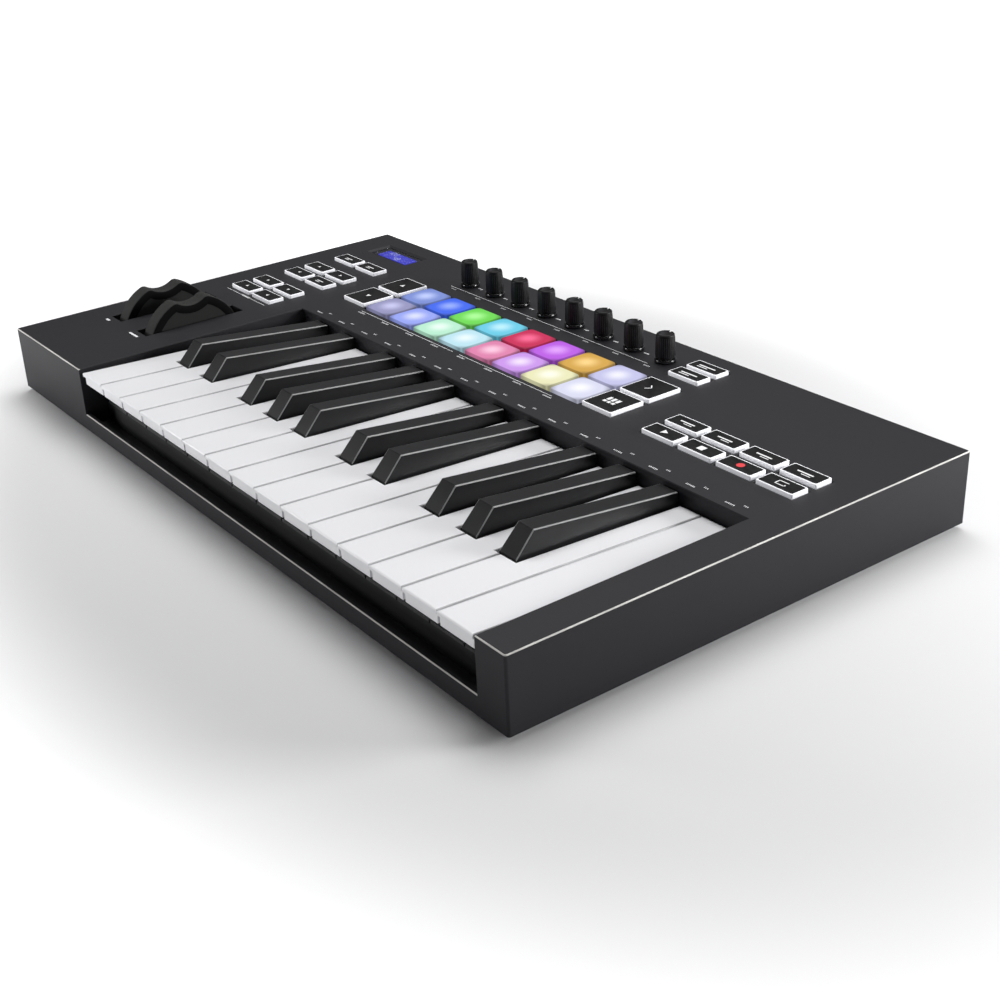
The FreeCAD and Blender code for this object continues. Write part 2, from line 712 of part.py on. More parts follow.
def rear_span(index):
    """The part of a white key that runs back between its black neighbours."""
    left = KEYS_L + index * WHITE_PITCH + KEY_GAP / 2
    right = KEYS_L + (index + 1) * WHITE_PITCH - KEY_GAP / 2
    for black in range(black_count()):
        notch_l = black_x(black) - NOTCH_W / 2
        notch_r = black_x(black) + NOTCH_W / 2
        if notch_l < left < notch_r:
            left = notch_r
        if notch_l < right < notch_r:
            right = notch_l
    return (left, right)


def fascia_relief(x0, x1):
    """Cuts that make the fascia a little narrower than the plate above it."""
    top = KEY_TOP_Z - KEY_NOSE_H
    back = KEY_FRONT + KEY_NOSE + KEY_SHELL
    left = block(x0 - 1, x0 + FASCIA_SIDE, 0, back, 0, top)
    right = block(x1 - FASCIA_SIDE, x1 + 1, 0, back, 0, top)
    return [left, right]


def hollow(points, x0, x1, y_from):
    """The space inside a key shell, open underneath."""
    inner = side_profile(inset(points, KEY_SHELL), x0 + KEY_SHELL, x1 - KEY_SHELL)
    below = side_profile(inset(points, KEY_SHELL), x0 + KEY_SHELL, x1 - KEY_SHELL)
    below.translate(FreeCAD.Vector(0, 0, -2 * KEY_SHELL))
    space = inner.fuse(below)
    keep = block(x0, x1, y_from, TAIL_END - KEY_SHELL, -10, CASE_H + 20)
    return space.common(keep)


def pivot_bore(x0, x1):
    return axle(x0 - 1, x1 + 1, PIVOT_Y, PIVOT_Z, PIVOT_R + PIVOT_CLEARANCE)


def plunger(x, roof_z):
    half = PLUNGER_W / 2
    return block(x - half, x + half, CONTACT_Y - half, CONTACT_Y + half, PLUNGER_Z, roof_z)


def white_key(index):
    outline = white_outline()
    x0 = KEYS_L + index * WHITE_PITCH + KEY_GAP / 2
    x1 = x0 + WHITE_PITCH - KEY_GAP
    rear_l, rear_r = rear_span(index)
    whole = side_profile(outline, x0, x1)
    head = whole.common(block(x0, x1, 0, NOTCH_FRONT, 0, CASE_H + 5))
    rear_room = block(rear_l, rear_r, NOTCH_FRONT - 3, CASE_D, 0, CASE_H + 5)
    stem = side_profile(outline, rear_l, rear_r).common(rear_room)
    key = joined([head, stem])
    key = rounded_key_top(key)
    space_outline = white_space_outline()
    head_space = hollow(space_outline, x0, x1, KEY_FRONT + KEY_NOSE + KEY_SHELL)
    head_space = head_space.common(block(x0, x1, 0, NOTCH_FRONT - KEY_SHELL, -10, CASE_H + 5))
    stem_space = hollow(space_outline, rear_l, rear_r, NOTCH_FRONT - 5)
    key = key.cut([head_space, stem_space] + fascia_relief(x0, x1))
    middle = (rear_l + rear_r) / 2
    key = key.fuse(plunger(middle, white_top(CONTACT_Y) - KEY_SHELL / 2)).removeSplitter()
    return key.cut(pivot_bore(rear_l, rear_r))


def lies_on_white_top(edge):
    for vertex in edge.Vertexes:
        point = vertex.Point
        if abs(point.z - BASE - white_top(point.y - FRONT)) > SMALL:
            return False
    return True


def rounded_key_top(key):
    edges = [edge for edge in key.Edges if lies_on_white_top(edge)]
    return key.makeFillet(KEY_EDGE_R, edges)


def black_key(index):
    x = black_x(index)
    outline = black_outline()
    foot_z = white_top(black_front())
    top_z = foot_z + BLACK_RISE
    half = BLACK_W / 2
    half_top = BLACK_TOP_W / 2
    section = [(x - half, 0), (x + half, 0), (x + half, foot_z), (x + half_top, top_z + 2),
               (x - half_top, top_z + 2), (x - half, foot_z)]
    key = side_profile(outline, x - half, x + half).common(front_profile(section, 0, TAIL_END + 5))
    edges = [edge for edge in key.Edges if is_black_top_edge(edge)]
    key = key.makeFillet(BLACK_EDGE_R, edges)
    key = key.cut(hollow(outline, x - half, x + half, black_front() + KEY_SHELL))
    roof_z = top_z - BLACK_SLOPE * (CONTACT_Y - black_front() - BLACK_RUN) - KEY_SHELL / 2
    key = key.fuse(plunger(x, roof_z)).removeSplitter()
    return key.cut(pivot_bore(x - half, x + half))


def is_black_top_edge(edge):
    """Edges round the black key's top and down its sloping front face."""
    y0 = black_front()
    foot_z = white_top(y0)
    top_z = foot_z + BLACK_RISE
    for vertex in edge.Vertexes:
        y = vertex.Point.y - FRONT
        z = vertex.Point.z - BASE
        front_z = foot_z + (y - y0) * BLACK_RISE / BLACK_RUN
        back_z = top_z - BLACK_SLOPE * (y - y0 - BLACK_RUN)
        on_front = y0 - SMALL <= y <= y0 + BLACK_RUN and abs(z - front_z) < SMALL
        on_top = y >= y0 + BLACK_RUN - SMALL and abs(z - back_z) < SMALL
        if not on_front and not on_top:
            return False
    start, end = edge.Vertexes[0].Point, edge.Vertexes[-1].Point
    is_foot = abs(start.y - FRONT - y0) < SMALL and abs(end.y - FRONT - y0) < SMALL
    return not is_foot


# ------------------------------------------------------------------ keybed
def tail_spans():
    """Left and right side of every key's tail, white keys first."""
    spans = [rear_span(index) for index in range(WHITE_COUNT)]
    spans += [(black_x(index) - BLACK_W / 2, black_x(index) + BLACK_W / 2) for index in range(black_count())]
    return spans


def chassis_span():
    return (WELL_L + CHASSIS_SIDE_GAP, WELL_R - CHASSIS_SIDE_GAP)


def pressed(y, z):
    """Where a point of a key goes when the key is fully down."""
    dy = y - PIVOT_Y
    dz = z - PIVOT_Z
    return (PIVOT_Y + dy * math.cos(TRAVEL) - dz * math.sin(TRAVEL),
            PIVOT_Z + dy * math.sin(TRAVEL) + dz * math.cos(TRAVEL))


def rear_felt_top():
    return TAIL_BOTTOM_Z - STOP_GAP


def chassis_floor_z():
    return FLOOR_T + CHASSIS_T


def chassis_back():
    """The wall behind the key tails that carries the spring comb."""
    return (TAIL_END + CHASSIS_BACK_GAP, TAIL_END + CHASSIS_BACK_GAP + CHASSIS_WALL_T)


def comb_z():
    """Underside of the spring fingers, clear of a raised tail."""
    return pressed(TAIL_END, TAIL_END_Z)[1] + STOP_GAP


def keybed_chassis():
    x0, x1 = chassis_span()
    floor_z = chassis_floor_z()
    back0, back1 = chassis_back()
    floor = block(x0, x1, CHASSIS_FRONT, back1, FLOOR_T, floor_z)
    front_rail = block(x0, x1, CHASSIS_FRONT, CHASSIS_FRONT + CHASSIS_WALL_T, FLOOR_T, FRONT_RAIL_Z)
    rear_rail = block(x0, x1, TAIL_END - REAR_RAIL_D, back1, FLOOR_T, rear_felt_top() - FELT_T)
    rear_wall = block(x0, x1, back0, back1, FLOOR_T, comb_z())
    ledge_ys = (CONTACT_Y - CONTACT_D / 2, CONTACT_Y + CONTACT_D / 2 - LEDGE_D)
    ledges = [block(x0, x1, y, y + LEDGE_D, FLOOR_T, CONTACT_BOARD_Z) for y in ledge_ys]
    posts = []
    for left, right in tail_spans():
        middle = (left + right) / 2
        posts.append(block(middle - POST_W / 2, middle + POST_W / 2, PIVOT_Y - POST_D / 2,
                           PIVOT_Y + POST_D / 2, FLOOR_T, PIVOT_Z + POST_TOP_GAP))
    guides = [guide_post(index) for index in range(WHITE_COUNT)]
    bosses = [post(x, y, FLOOR_T, FLOOR_T + CHASSIS_BOSS_H, BOSS_R) for x, y in chassis_boss_places()]
    body = joined([floor, front_rail, rear_rail, rear_wall] + ledges + posts + guides + bosses)
    cuts = [axle(x0 - 1, x1 + 1, PIVOT_Y, PIVOT_Z, PIVOT_R + PRESS_FIT)]
    for x, y in chassis_boss_places():
        cuts.append(post(x, y, 0, FLOOR_T + CHASSIS_BOSS_H - 1, SCREW_R + THREAD_FIT))
    return body.cut(cuts)


def guide_post(index):
    """Stub that keeps a white key's front end from wandering sideways."""
    x = KEYS_L + (index + 0.5) * WHITE_PITCH
    y0 = CHASSIS_FRONT + CHASSIS_WALL_T
    half = GUIDE_W / 2
    return block(x - half, x + half, y0 - OVERLAP, y0 + GUIDE_D, FLOOR_T, FRONT_RAIL_Z + GUIDE_RISE)


def pivot_rod():
    x0, x1 = chassis_span()
    return axle(x0 + 1.0, x1 - 1.0, PIVOT_Y, PIVOT_Z, PIVOT_R)


def key_stop_felt():
    x0, x1 = chassis_span()
    rear_top = rear_felt_top()
    rear_start = TAIL_END - REAR_RAIL_D + FELT_INSET
    strips = [block(x0, x1, rear_start, TAIL_END - FELT_INSET, rear_top - FELT_T, rear_top)]
    front_end = CHASSIS_FRONT + CHASSIS_WALL_T - FELT_INSET
    for index in range(WHITE_COUNT):
        left = KEYS_L + index * WHITE_PITCH + KEY_GAP
        right = left + WHITE_PITCH - 2 * KEY_GAP
        strips.append(block(left, right, CHASSIS_FRONT, front_end, FRONT_RAIL_Z, FRONT_RAIL_Z + FELT_T))
    return strips


def key_spring_comb():
    """One sheet of spring steel with a finger over every key's tail."""
    back0, back1 = chassis_back()
    z = comb_z()
    x0, x1 = chassis_span()
    spine = block(x0 + 1, x1 - 1, back0 + FLOOR_GAP, back1, z, z + COMB_T)
    fingers = []
    for left, right in tail_spans():
        middle = (left + right) / 2
        half = COMB_FINGER_W / 2
        fingers.append(block(middle - half, middle + half, PIVOT_Y + COMB_TIP, back1 - OVERLAP, z, z + COMB_T))
    return joined([spine] + fingers)


def contact_board_span():
    x0, x1 = chassis_span()
    return (x0 + 4.0, x1 - 4.0, CONTACT_Y - CONTACT_D / 2, CONTACT_Y + CONTACT_D / 2)


def key_contact_board():
    return block(*contact_board_span(), CONTACT_BOARD_Z, CONTACT_BOARD_Z + BOARD_T)


def key_contact_rubber():
    """Silicone strip with a dome under every key's plunger."""
    base_z = CONTACT_BOARD_Z + BOARD_T
    x0, x1, y0, y1 = contact_board_span()
    y0 += CONTACT_STRIP_INSET
    y1 -= CONTACT_STRIP_INSET
    strip = block(x0 + OVERLAP, x1 - OVERLAP, y0, y1, base_z, base_z + CONTACT_STRIP_T)
    dome_top = pressed(CONTACT_Y, PLUNGER_Z)[1] - DOME_GAP
    domes = []
    for left, right in tail_spans():
        x = (left + right) / 2
        domes.append(post(x, CONTACT_Y, base_z + OVERLAP, dome_top, DOME_R, DOME_R - DOME_TAPER))
    return joined([strip] + domes)


# ------------------------------------------------------------------ wheels
def wheel_blank(disc_r, dip_r, floor, x0, x1):
    """Disc with a flat underside and a thumb dip in its top."""
    disc = axle(x0, x1, WHEEL_Y, WHEEL_Z, disc_r)
    keep = block(x0 - 1, x1 + 1, WHEEL_Y - 60, WHEEL_Y + 60, WHEEL_Z - floor, WHEEL_Z + 60)
    dip = axle(x0 - 1, x1 + 1, WHEEL_Y, WHEEL_Z + WHEEL_DIP_Z + WHEEL_DIP_R, dip_r)
    return disc.common(keep).cut(dip)


def thumb_wheel(x):
    x0 = x - WHEEL_W / 2
    x1 = x + WHEEL_W / 2
    body = wheel_blank(WHEEL_R, WHEEL_DIP_R, WHEEL_FLOOR, x0, x1)
    humps = [edge for edge in body.Edges if is_hump_edge(edge)]
    body = body.makeFillet(HUMP_R, humps)
    rims = [edge for edge in body.Edges if is_rim_edge(edge)]
    body = body.makeFillet(WHEEL_EDGE_R, rims)
    recesses = [wheel_blank(WHEEL_R - WHEEL_RIM, WHEEL_DIP_R + WHEEL_RIM, RECESS_FLOOR, start, end)
                for start, end in ((x0 - 1, x0 + WHEEL_RECESS), (x1 - WHEEL_RECESS, x1 + 1))]
    body = body.cut(recesses)
    hub = axle(x0, x1, WHEEL_Y, WHEEL_Z, HUB_R)
    reach = bracket_reach() + AXLE_END
    shaft = axle(x - reach, x + reach, WHEEL_Y, WHEEL_Z, AXLE_R)
    return joined([body, hub, shaft])


def is_hump_edge(edge):
    start = edge.Vertexes[0].Point
    end = edge.Vertexes[-1].Point
    along_x = abs(start.y - end.y) < SMALL and abs(start.z - end.z) < SMALL and abs(start.x - end.x) > SMALL
    return along_x and start.z - BASE > WHEEL_Z + WHEEL_DIP_Z


def is_rim_edge(edge):
    """Edges of the two flanks above the flat underside."""
    points = [vertex.Point for vertex in edge.Vertexes]
    flat = all(abs(point.x - points[0].x) < SMALL for point in points)
    middle = edge.valueAt((edge.FirstParameter + edge.LastParameter) / 2)
    return flat and middle.z - BASE > WHEEL_Z - WHEEL_FLOOR + SMALL


def bracket_reach():
    """Wheel centre to the outer face of a bracket cheek."""
    return WHEEL_SLOT_W / 2 + BRACKET_GAP + BRACKET_T


def wheel_bracket():
    """Frame under the panel with two cheeks for each wheel's axle."""
    reach = bracket_reach()
    half_d = WHEEL_SLOT_D / 2 + BRACKET_MARGIN
    x0 = WHEEL_XS[0] - reach - BRACKET_SIDE
    x1 = WHEEL_XS[1] + reach + BRACKET_SIDE
    plate = block(x0, x1, WHEEL_Y - half_d, WHEEL_Y + half_d, PANEL_UNDER - BRACKET_T, PANEL_UNDER)
    pieces = [plate]
    cuts = []
    for x in WHEEL_XS:
        x0, x1, y0, y1 = wheel_slot(x)
        cuts.append(block(x0, x1, y0, y1, 0, CASE_H))
        for inner in (x - reach, x + reach - BRACKET_T):
            pieces.append(bracket_cheek(inner))
        cuts.append(axle(x - reach - 2, x + reach + 2, WHEEL_Y, WHEEL_Z, AXLE_R + AXLE_CLEARANCE))
    return joined(pieces).cut(cuts)


def bracket_cheek(x0):
    top = PANEL_UNDER - BRACKET_T / 2
    foot = WHEEL_Z - CHEEK_DROP
    half_top = CHEEK_TOP_W / 2
    half_foot = CHEEK_FOOT_W / 2
    points = [(WHEEL_Y - half_top, top), (WHEEL_Y - half_foot, foot), (WHEEL_Y + half_foot, foot),
              (WHEEL_Y + half_top, top)]
    return side_profile(points, x0, x0 + BRACKET_T)


def wheel_sensors():
    """A rotary sensor on the left cheek of each wheel, round the end of its axle."""
    sensors = []
    half = SENSOR_W / 2
    half_leg = SENSOR_LEG_W / 2
    foot = WHEEL_Z - half
    for x in WHEEL_XS:
        face = x - bracket_reach()
        body = block(face - SENSOR_T, face, WHEEL_Y - half, WHEEL_Y + half, foot, WHEEL_Z + half)
        legs = block(face - SENSOR_T + 2, face - 1.5, WHEEL_Y - half_leg, WHEEL_Y + half_leg,
                     foot - SENSOR_LEG_L, foot + OVERLAP)
        bore = axle(face - AXLE_END - OVERLAP, face + 1, WHEEL_Y, WHEEL_Z, AXLE_R + AXLE_CLEARANCE)
        sensors.append(joined([body, legs]).cut(bore))
    return sensors


def spring_section(x0, coil_r):
    """Outline of the coil's turns side by side, each overlapping the next a little."""
    waist = math.sqrt(SPRING_WIRE_R ** 2 - (SPRING_PITCH / 2) ** 2)
    crests = [x0 + turn * SPRING_PITCH for turn in range(SPRING_TURNS)]
    waists = [(here + following) / 2 for here, following in zip(crests, crests[1:])]
    ends = [crests[0] - SPRING_WIRE_R] + waists + [crests[-1] + SPRING_WIRE_R]
    depths = [0.0] + [waist] * len(waists) + [0.0]
    arcs = []
    for side in (1, -1):
        for turn, crest in enumerate(crests):
            start = FreeCAD.Vector(ends[turn], coil_r + side * depths[turn], 0)
            top = FreeCAD.Vector(crest, coil_r + side * SPRING_WIRE_R, 0)
            end = FreeCAD.Vector(ends[turn + 1], coil_r + side * depths[turn + 1], 0)
            arcs.append(Part.Arc(start, top, end).toShape())
    return Part.Face(Part.Wire(Part.__sortEdges__(arcs)))


def pitch_return_spring():
    """Close-wound torsion spring round the right end of the pitch wheel's axle, with two legs."""
    coil_r = AXLE_R + SPRING_CLEARANCE + SPRING_WIRE_R
    x0 = WHEEL_XS[0] + bracket_reach() + SPRING_CLEARANCE
    last_x = x0 + (SPRING_TURNS - 1) * SPRING_PITCH
    coil = spring_section(0.0, coil_r).revolve(FreeCAD.Vector(0, 0, 0), FreeCAD.Vector(1, 0, 0), 360)
    coil.translate(FreeCAD.Vector(x0, FRONT + WHEEL_Y, BASE + WHEEL_Z))
    legs = [post(x0, WHEEL_Y - coil_r, WHEEL_Z, WHEEL_Z + SPRING_LEG, SPRING_WIRE_R),
            post(last_x, WHEEL_Y + coil_r, WHEEL_Z, WHEEL_Z + SPRING_LEG, SPRING_WIRE_R)]
    return joined([coil] + legs)


# ------------------------------------------------------------------ pads, buttons and knobs
def silicone_mat(buttons, rise, travel, side_margin, corner_r):
    """Web under the panel with the buttons standing on it through their holes."""
    web_z = BOARD_TOP + travel + STOP_GAP
    x0 = min(x - width / 2 for x, y, width, depth in buttons) - side_margin
    x1 = max(x + width / 2 for x, y, width, depth in buttons) + side_margin
    y0 = min(y - depth / 2 for x, y, width, depth in buttons) - MAT_MARGIN
    y1 = max(y + depth / 2 for x, y, width, depth in buttons) + MAT_MARGIN
    pieces = [block(x0, x1, y0, y1, web_z, web_z + MAT_WEB_T)]
    for x, y, width, depth in buttons:
        pieces.append(rounded_block(x - width / 2, x + width / 2, y - depth / 2, y + depth / 2,
                                    web_z + MAT_WEB_T / 2, CASE_H + rise, corner_r, CAP_EDGE_R))
    return joined(pieces)


def pad_mat():
    return silicone_mat(pads(), PAD_RISE, PAD_TRAVEL, BANK_MARGIN, PAD_CORNER_R)


def button_mat(buttons, side_margin):
    return silicone_mat(buttons, BUTTON_RISE, BUTTON_TRAVEL, side_margin, BUTTON_CORNER_R)


def knob(x):
    """Tapered knob with a wider foot, a pointer groove and a bore for the shaft."""
    z0 = CASE_H + KNOB_LIFT
    z1 = z0 + KNOB_H
    skirt = post(x, KNOB_Y, z0, z0 + KNOB_SKIRT_H, KNOB_R)
    skirt_rim = [edge for edge in skirt.Edges if is_at_height(edge, z0 + KNOB_SKIRT_H)]
    skirt = skirt.makeFillet(KNOB_SKIRT_EDGE_R, skirt_rim)
    body = post(x, KNOB_Y, z0, z1, KNOB_BODY_R, KNOB_TOP_R)
    body = body.makeFillet(KNOB_EDGE_R, [edge for edge in body.Edges if is_at_height(edge, z1)])
    bore = post(x, KNOB_Y, z0 - 1, z0 + KNOB_BORE_H, SHAFT_R + SHAFT_CLEARANCE)
    half = POINTER_W / 2
    outside = KNOB_Y + KNOB_R + 1
    groove_top = block(x - half, x + half, KNOB_Y + POINTER_START, outside, z1 - POINTER_DEPTH, z1 + 1)
    groove_y = KNOB_Y + KNOB_TOP_R - POINTER_DEPTH
    groove_side = block(x - half, x + half, groove_y, outside, z0 + POINTER_FOOT, z1 + 1)
    return joined([skirt, body]).cut([bore, groove_top, groove_side])


def knob_encoders():
    """Rotary controls under the board, each with a bushing and a shaft up into its knob."""
    parts = []
    half = ENCODER_W / 2
    shaft_top = CASE_H + KNOB_LIFT + KNOB_BORE_H - SHAFT_TIP_GAP
    for x in KNOB_XS:
        body = block(x - half, x + half, KNOB_Y - half, KNOB_Y + half, BOARD_Z - ENCODER_H, BOARD_Z)
        bushing = post(x, KNOB_Y, BOARD_Z - 1, CASE_H - BUSHING_DROP, BUSHING_R)
        shaft = post(x, KNOB_Y, CASE_H - 1, shaft_top, SHAFT_R)
        parts.append(joined([body, bushing, shaft]))
    return parts


# ------------------------------------------------------------------ boards, display and sockets
def control_board():
    """Main board: pad sensors and button contacts on top, encoders and sockets below."""
    y0 = WELL_D + BOARD_FRONT
    y1 = CASE_D - WALL - BOARD_BACK_GAP
    x0 = LEFT + BOARD_SIDE_GAP
    main = block(x0, RIGHT - BOARD_SIDE_GAP, y0, y1, BOARD_Z, BOARD_TOP)
    wing = block(x0, x0 + BOARD_WING_W - BOARD_SIDE_GAP, WELL_D + BOARD_WING_FRONT, y0 + 1, BOARD_Z, BOARD_TOP)
    chips = [chip(x, y1 - CHIP_FROM_BACK, CHIP_W, CHIP_T) for x in CHIP_XS]
    processor = chip(PROCESSOR_X, y1 - PROCESSOR_FROM_BACK, PROCESSOR_W, PROCESSOR_T)
    holes = [post(x, KNOB_Y, BOARD_Z - 2, BOARD_TOP + 1, BUSHING_R + BUSHING_CLEARANCE) for x in KNOB_XS]
    return joined([main, wing, processor] + chips).cut(holes)


def chip(x, back_y, width, thickness):
    """Square chip under the board."""
    half = width / 2
    return block(x - half, x + half, back_y - width, back_y, BOARD_Z - thickness, BOARD_Z)


def display_window():
    x0, x1, y0, y1 = display_outline(DISPLAY_BEVEL + LENS_GAP)
    seat = CASE_H - DISPLAY_BEVEL_H
    return block(x0, x1, y0, y1, seat - LENS_T, seat)


def display_module():
    """Frame on the board with the lit screen standing up into the panel's window."""
    frame = block(*display_outline(DISPLAY_FRAME_GAP), BOARD_TOP, PANEL_UNDER)
    screen_top = CASE_H - DISPLAY_BEVEL_H - LENS_T
    window = display_outline(DISPLAY_BEVEL + LENS_LEDGE + SCREEN_SIDE)
    screen = block(*window, BOARD_TOP, screen_top - SCREEN_GAP)
    return joined([frame, screen])


def usb_socket():
    """Square data socket hanging from the board, open to the back."""
    x, z = usb_place()
    mouth = CASE_D - SOCKET_INSET
    back = mouth - USB_DEPTH
    shell = block(x - USB_W / 2, x + USB_W / 2, back, mouth, z - USB_H / 2, z + USB_H / 2)
    half_w = USB_CAVITY_W / 2
    half_h = USB_CAVITY_H / 2
    depth = USB_CAVITY_DEPTH
    cavity = block(x - half_w, x + half_w, mouth - depth, mouth + 1, z - half_h, z + half_h)
    half_w = USB_TONGUE_W / 2
    half_h = USB_TONGUE_H / 2
    root = mouth - depth - OVERLAP
    tongue = block(x - half_w, x + half_w, root, mouth - USB_TONGUE_TIP, z - half_h, z + half_h)
    return joined([shell.cut(cavity), tongue])


def midi_out_socket():
    """Round five-pin socket hanging from the board, open to the back."""
    x, z = midi_place()
    inner_face = CASE_D - WALL
    mouth = CASE_D - SOCKET_INSET
    half = MIDI_W / 2
    body = block(x - half, x + half, inner_face - MIDI_DEPTH, inner_face, z - half, z + half)
    collar = barrel(x, z, inner_face - 1, mouth, MIDI_R + MIDI_COLLAR_T)
    cavity = barrel(x, z, mouth - MIDI_CAVITY_DEPTH, mouth + 1, MIDI_R)
    insert_back = mouth - MIDI_CAVITY_DEPTH - OVERLAP
    insert = barrel(x, z, insert_back, mouth - MIDI_INSERT_DEPTH, MIDI_R - MIDI_INSERT_GAP)
    pins = []
    for step in range(MIDI_PINS):
        angle = math.pi * (1 + step / (MIDI_PINS - 1))
        pin_x = x + MIDI_PIN_CIRCLE_R * math.cos(angle)
        pin_z = z + MIDI_PIN_CIRCLE_R * math.sin(angle)
        pins.append(barrel(pin_x, pin_z, mouth - MIDI_PIN_DEPTH, mouth, MIDI_PIN_R))
    return joined([joined([body, collar]).cut(cavity), insert]).cut(pins)


def pedal_jack():
    """Quarter-inch jack for a foot pedal, with a threaded collar through the back wall."""
    x, z = jack_place()
    inner_face = CASE_D - WALL
    mouth = CASE_D - SOCKET_INSET
    half_w = JACK_W / 2
    half_h = JACK_H / 2
    body = block(x - half_w, x + half_w, inner_face - JACK_DEPTH, inner_face, z - half_h, z + half_h)
    collar = barrel(x, z, inner_face - 1, mouth, JACK_COLLAR_R)
    bore = barrel(x, z, mouth - JACK_DEPTH, mouth + 1, JACK_BORE_R)
    return joined([body, collar]).cut(bore)


# ------------------------------------------------------------------ write every node
def build():
    save("top_case", top_case())
    save("bottom_case", bottom_case())
    save("case_screws", case_screws())
    save("rubber_feet", rubber_feet())
    for index in range(WHITE_COUNT):
        save("white_key_%02d" % (index + 1), white_key(index))
    for index in range(black_count()):
        save("black_key_%02d" % (index + 1), black_key(index))
    save("keybed_chassis", keybed_chassis())
    save("pivot_rod", pivot_rod())
    save("key_stop_felt", key_stop_felt())
    save("key_spring_comb", key_spring_comb())
    save("key_contact_board", key_contact_board())
    save("key_contact_rubber", key_contact_rubber())
    save("pitch_wheel", thumb_wheel(WHEEL_XS[0]))
    save("mod_wheel", thumb_wheel(WHEEL_XS[1]))
    save("wheel_bracket", wheel_bracket())
    save("wheel_sensors", wheel_sensors())
    save("pitch_return_spring", pitch_return_spring())
    save("pad_mat", pad_mat())
    save("left_keypad", button_mat(left_buttons(), MAT_MARGIN))
    save("left_bank_keypad", button_mat(left_bank_buttons(), BANK_MARGIN))
    save("right_bank_keypad", button_mat(right_bank_buttons(), BANK_MARGIN))
    save("transport_keypad", button_mat(transport_buttons(), MAT_MARGIN))
    for index, x in enumerate(KNOB_XS):
        save("knob_%d" % (index + 1), knob(x))
    save("knob_encoders", knob_encoders())
    save("control_board", control_board())
    save("display_window", display_window())
    save("display_module", display_module())
    save("usb_socket", usb_socket())
    save("midi_out_socket", midi_out_socket())
    save("pedal_jack", pedal_jack())


build()
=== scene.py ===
import colorsys
import json
import math
import bmesh
import bpy
from bpy.props import (
    CollectionProperty,
    FloatProperty,
    FloatVectorProperty,
    IntProperty,
    PointerProperty,
)
from mathutils import Color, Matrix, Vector


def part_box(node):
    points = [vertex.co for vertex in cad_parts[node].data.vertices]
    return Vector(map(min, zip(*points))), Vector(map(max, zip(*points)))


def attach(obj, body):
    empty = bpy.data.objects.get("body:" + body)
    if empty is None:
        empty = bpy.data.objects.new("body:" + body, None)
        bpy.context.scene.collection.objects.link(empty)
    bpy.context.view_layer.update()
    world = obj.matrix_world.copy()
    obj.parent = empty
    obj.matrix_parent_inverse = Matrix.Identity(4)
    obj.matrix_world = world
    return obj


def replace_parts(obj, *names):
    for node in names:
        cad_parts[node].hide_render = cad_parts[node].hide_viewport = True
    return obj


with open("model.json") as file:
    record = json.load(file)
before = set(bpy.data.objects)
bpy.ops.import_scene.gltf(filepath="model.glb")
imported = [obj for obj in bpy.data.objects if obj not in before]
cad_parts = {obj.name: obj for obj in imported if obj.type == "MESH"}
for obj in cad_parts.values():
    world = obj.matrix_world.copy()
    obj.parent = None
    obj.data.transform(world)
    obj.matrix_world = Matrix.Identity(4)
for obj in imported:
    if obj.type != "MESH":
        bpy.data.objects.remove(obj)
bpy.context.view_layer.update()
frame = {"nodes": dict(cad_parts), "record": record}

bl_info = {
    "name": "Controller Keyboard Finish",
    "version": (1, 0, 0),
    "blender": (4, 5, 0),
    "location": "3D View > Sidebar > Keyboard",
    "description": "Builds the visible surfaces of a two-octave controller keyboard around its frame",
    "category": "Object",
}

MM = 0.001
PRINT_RISE = 0.05 * MM          # printed marks above the surface they lie on
PRINT_SINK = 0.05 * MM
SHARP_EDGE = math.radians(38)
LEAST_CORNER = 0.05 * MM
PIMPLE_DENSITY = 4.0e6          # tries per square metre before the spacing thins them
PIMPLE_FLATNESS = 0.4
DRIFT_SCALE = 26.0              # slow change of tone, per metre
HIGHLIGHT_BEND = (0.52, 0.62)         # pointiness where a painted edge highlight begins and is full
HIGHLIGHT_PATCH_SCALE = 420.0
EDGE_TILT = (0.28, 0.97)        # upward part of the normal on a rounded edge
EDGE_PATCH_SCALE = 60.0
# strength of the painted edge highlights and shade
EDGE_PAINT_AMOUNT = 0.9
LONG_EDGE_TILT = 0.25           # least sideways part of the normal on a key's long edges
OUTER_BAND = 0.9 * MM           # the case's painted edge highlights lie this near its sides
SMEAR_SCALE = 90.0
STREAK_SCALE = (60.0, 2600.0, 2600.0)
TRACK_SCALE = 260.0             # copper tracks per metre
TRACK_EDGES = (0.42, 0.50)

# hue in degrees, depth of colour at the rim and in the middle, brightness at the rim; front row first
PAD_PALETTE = (
    (240, 0.22, 0.17, 0.75), (231, 0.38, 0.14, 0.96), (148, 0.22, 0.08, 0.93), (195, 0.22, 0.08, 0.95),
    (332, 0.42, 0.20, 0.88), (277, 0.36, 0.11, 0.93), (58, 0.20, 0.07, 0.92), (236, 0.10, 0.02, 0.95),
    (227, 0.42, 0.25, 0.84), (226, 0.74, 0.42, 0.94), (108, 0.62, 0.40, 0.86), (193, 0.54, 0.26, 0.91),
    (342, 0.82, 0.58, 0.80), (282, 0.60, 0.36, 0.90), (40, 0.66, 0.46, 0.84), (240, 0.16, 0.05, 0.92),
)


# ------------------------------------------------------------------ sizes and colours to change
def length_value(name, description, default):
    return FloatProperty(name=name, description=description, default=default, unit="LENGTH", precision=5)


def colour_value(name, description, default):
    return FloatVectorProperty(name=name, description=description, default=default, subtype="COLOR")


def share_value(name, description, default):
    return FloatProperty(
        name=name, description=description, default=default, min=0.0, max=1.0, subtype="FACTOR",
    )


def strength_value(name, description, default):
    return FloatProperty(name=name, description=description, default=default, min=0.0)


def power_value(name, description, default):
    return FloatProperty(name=name, description=description, default=default, unit="POWER")


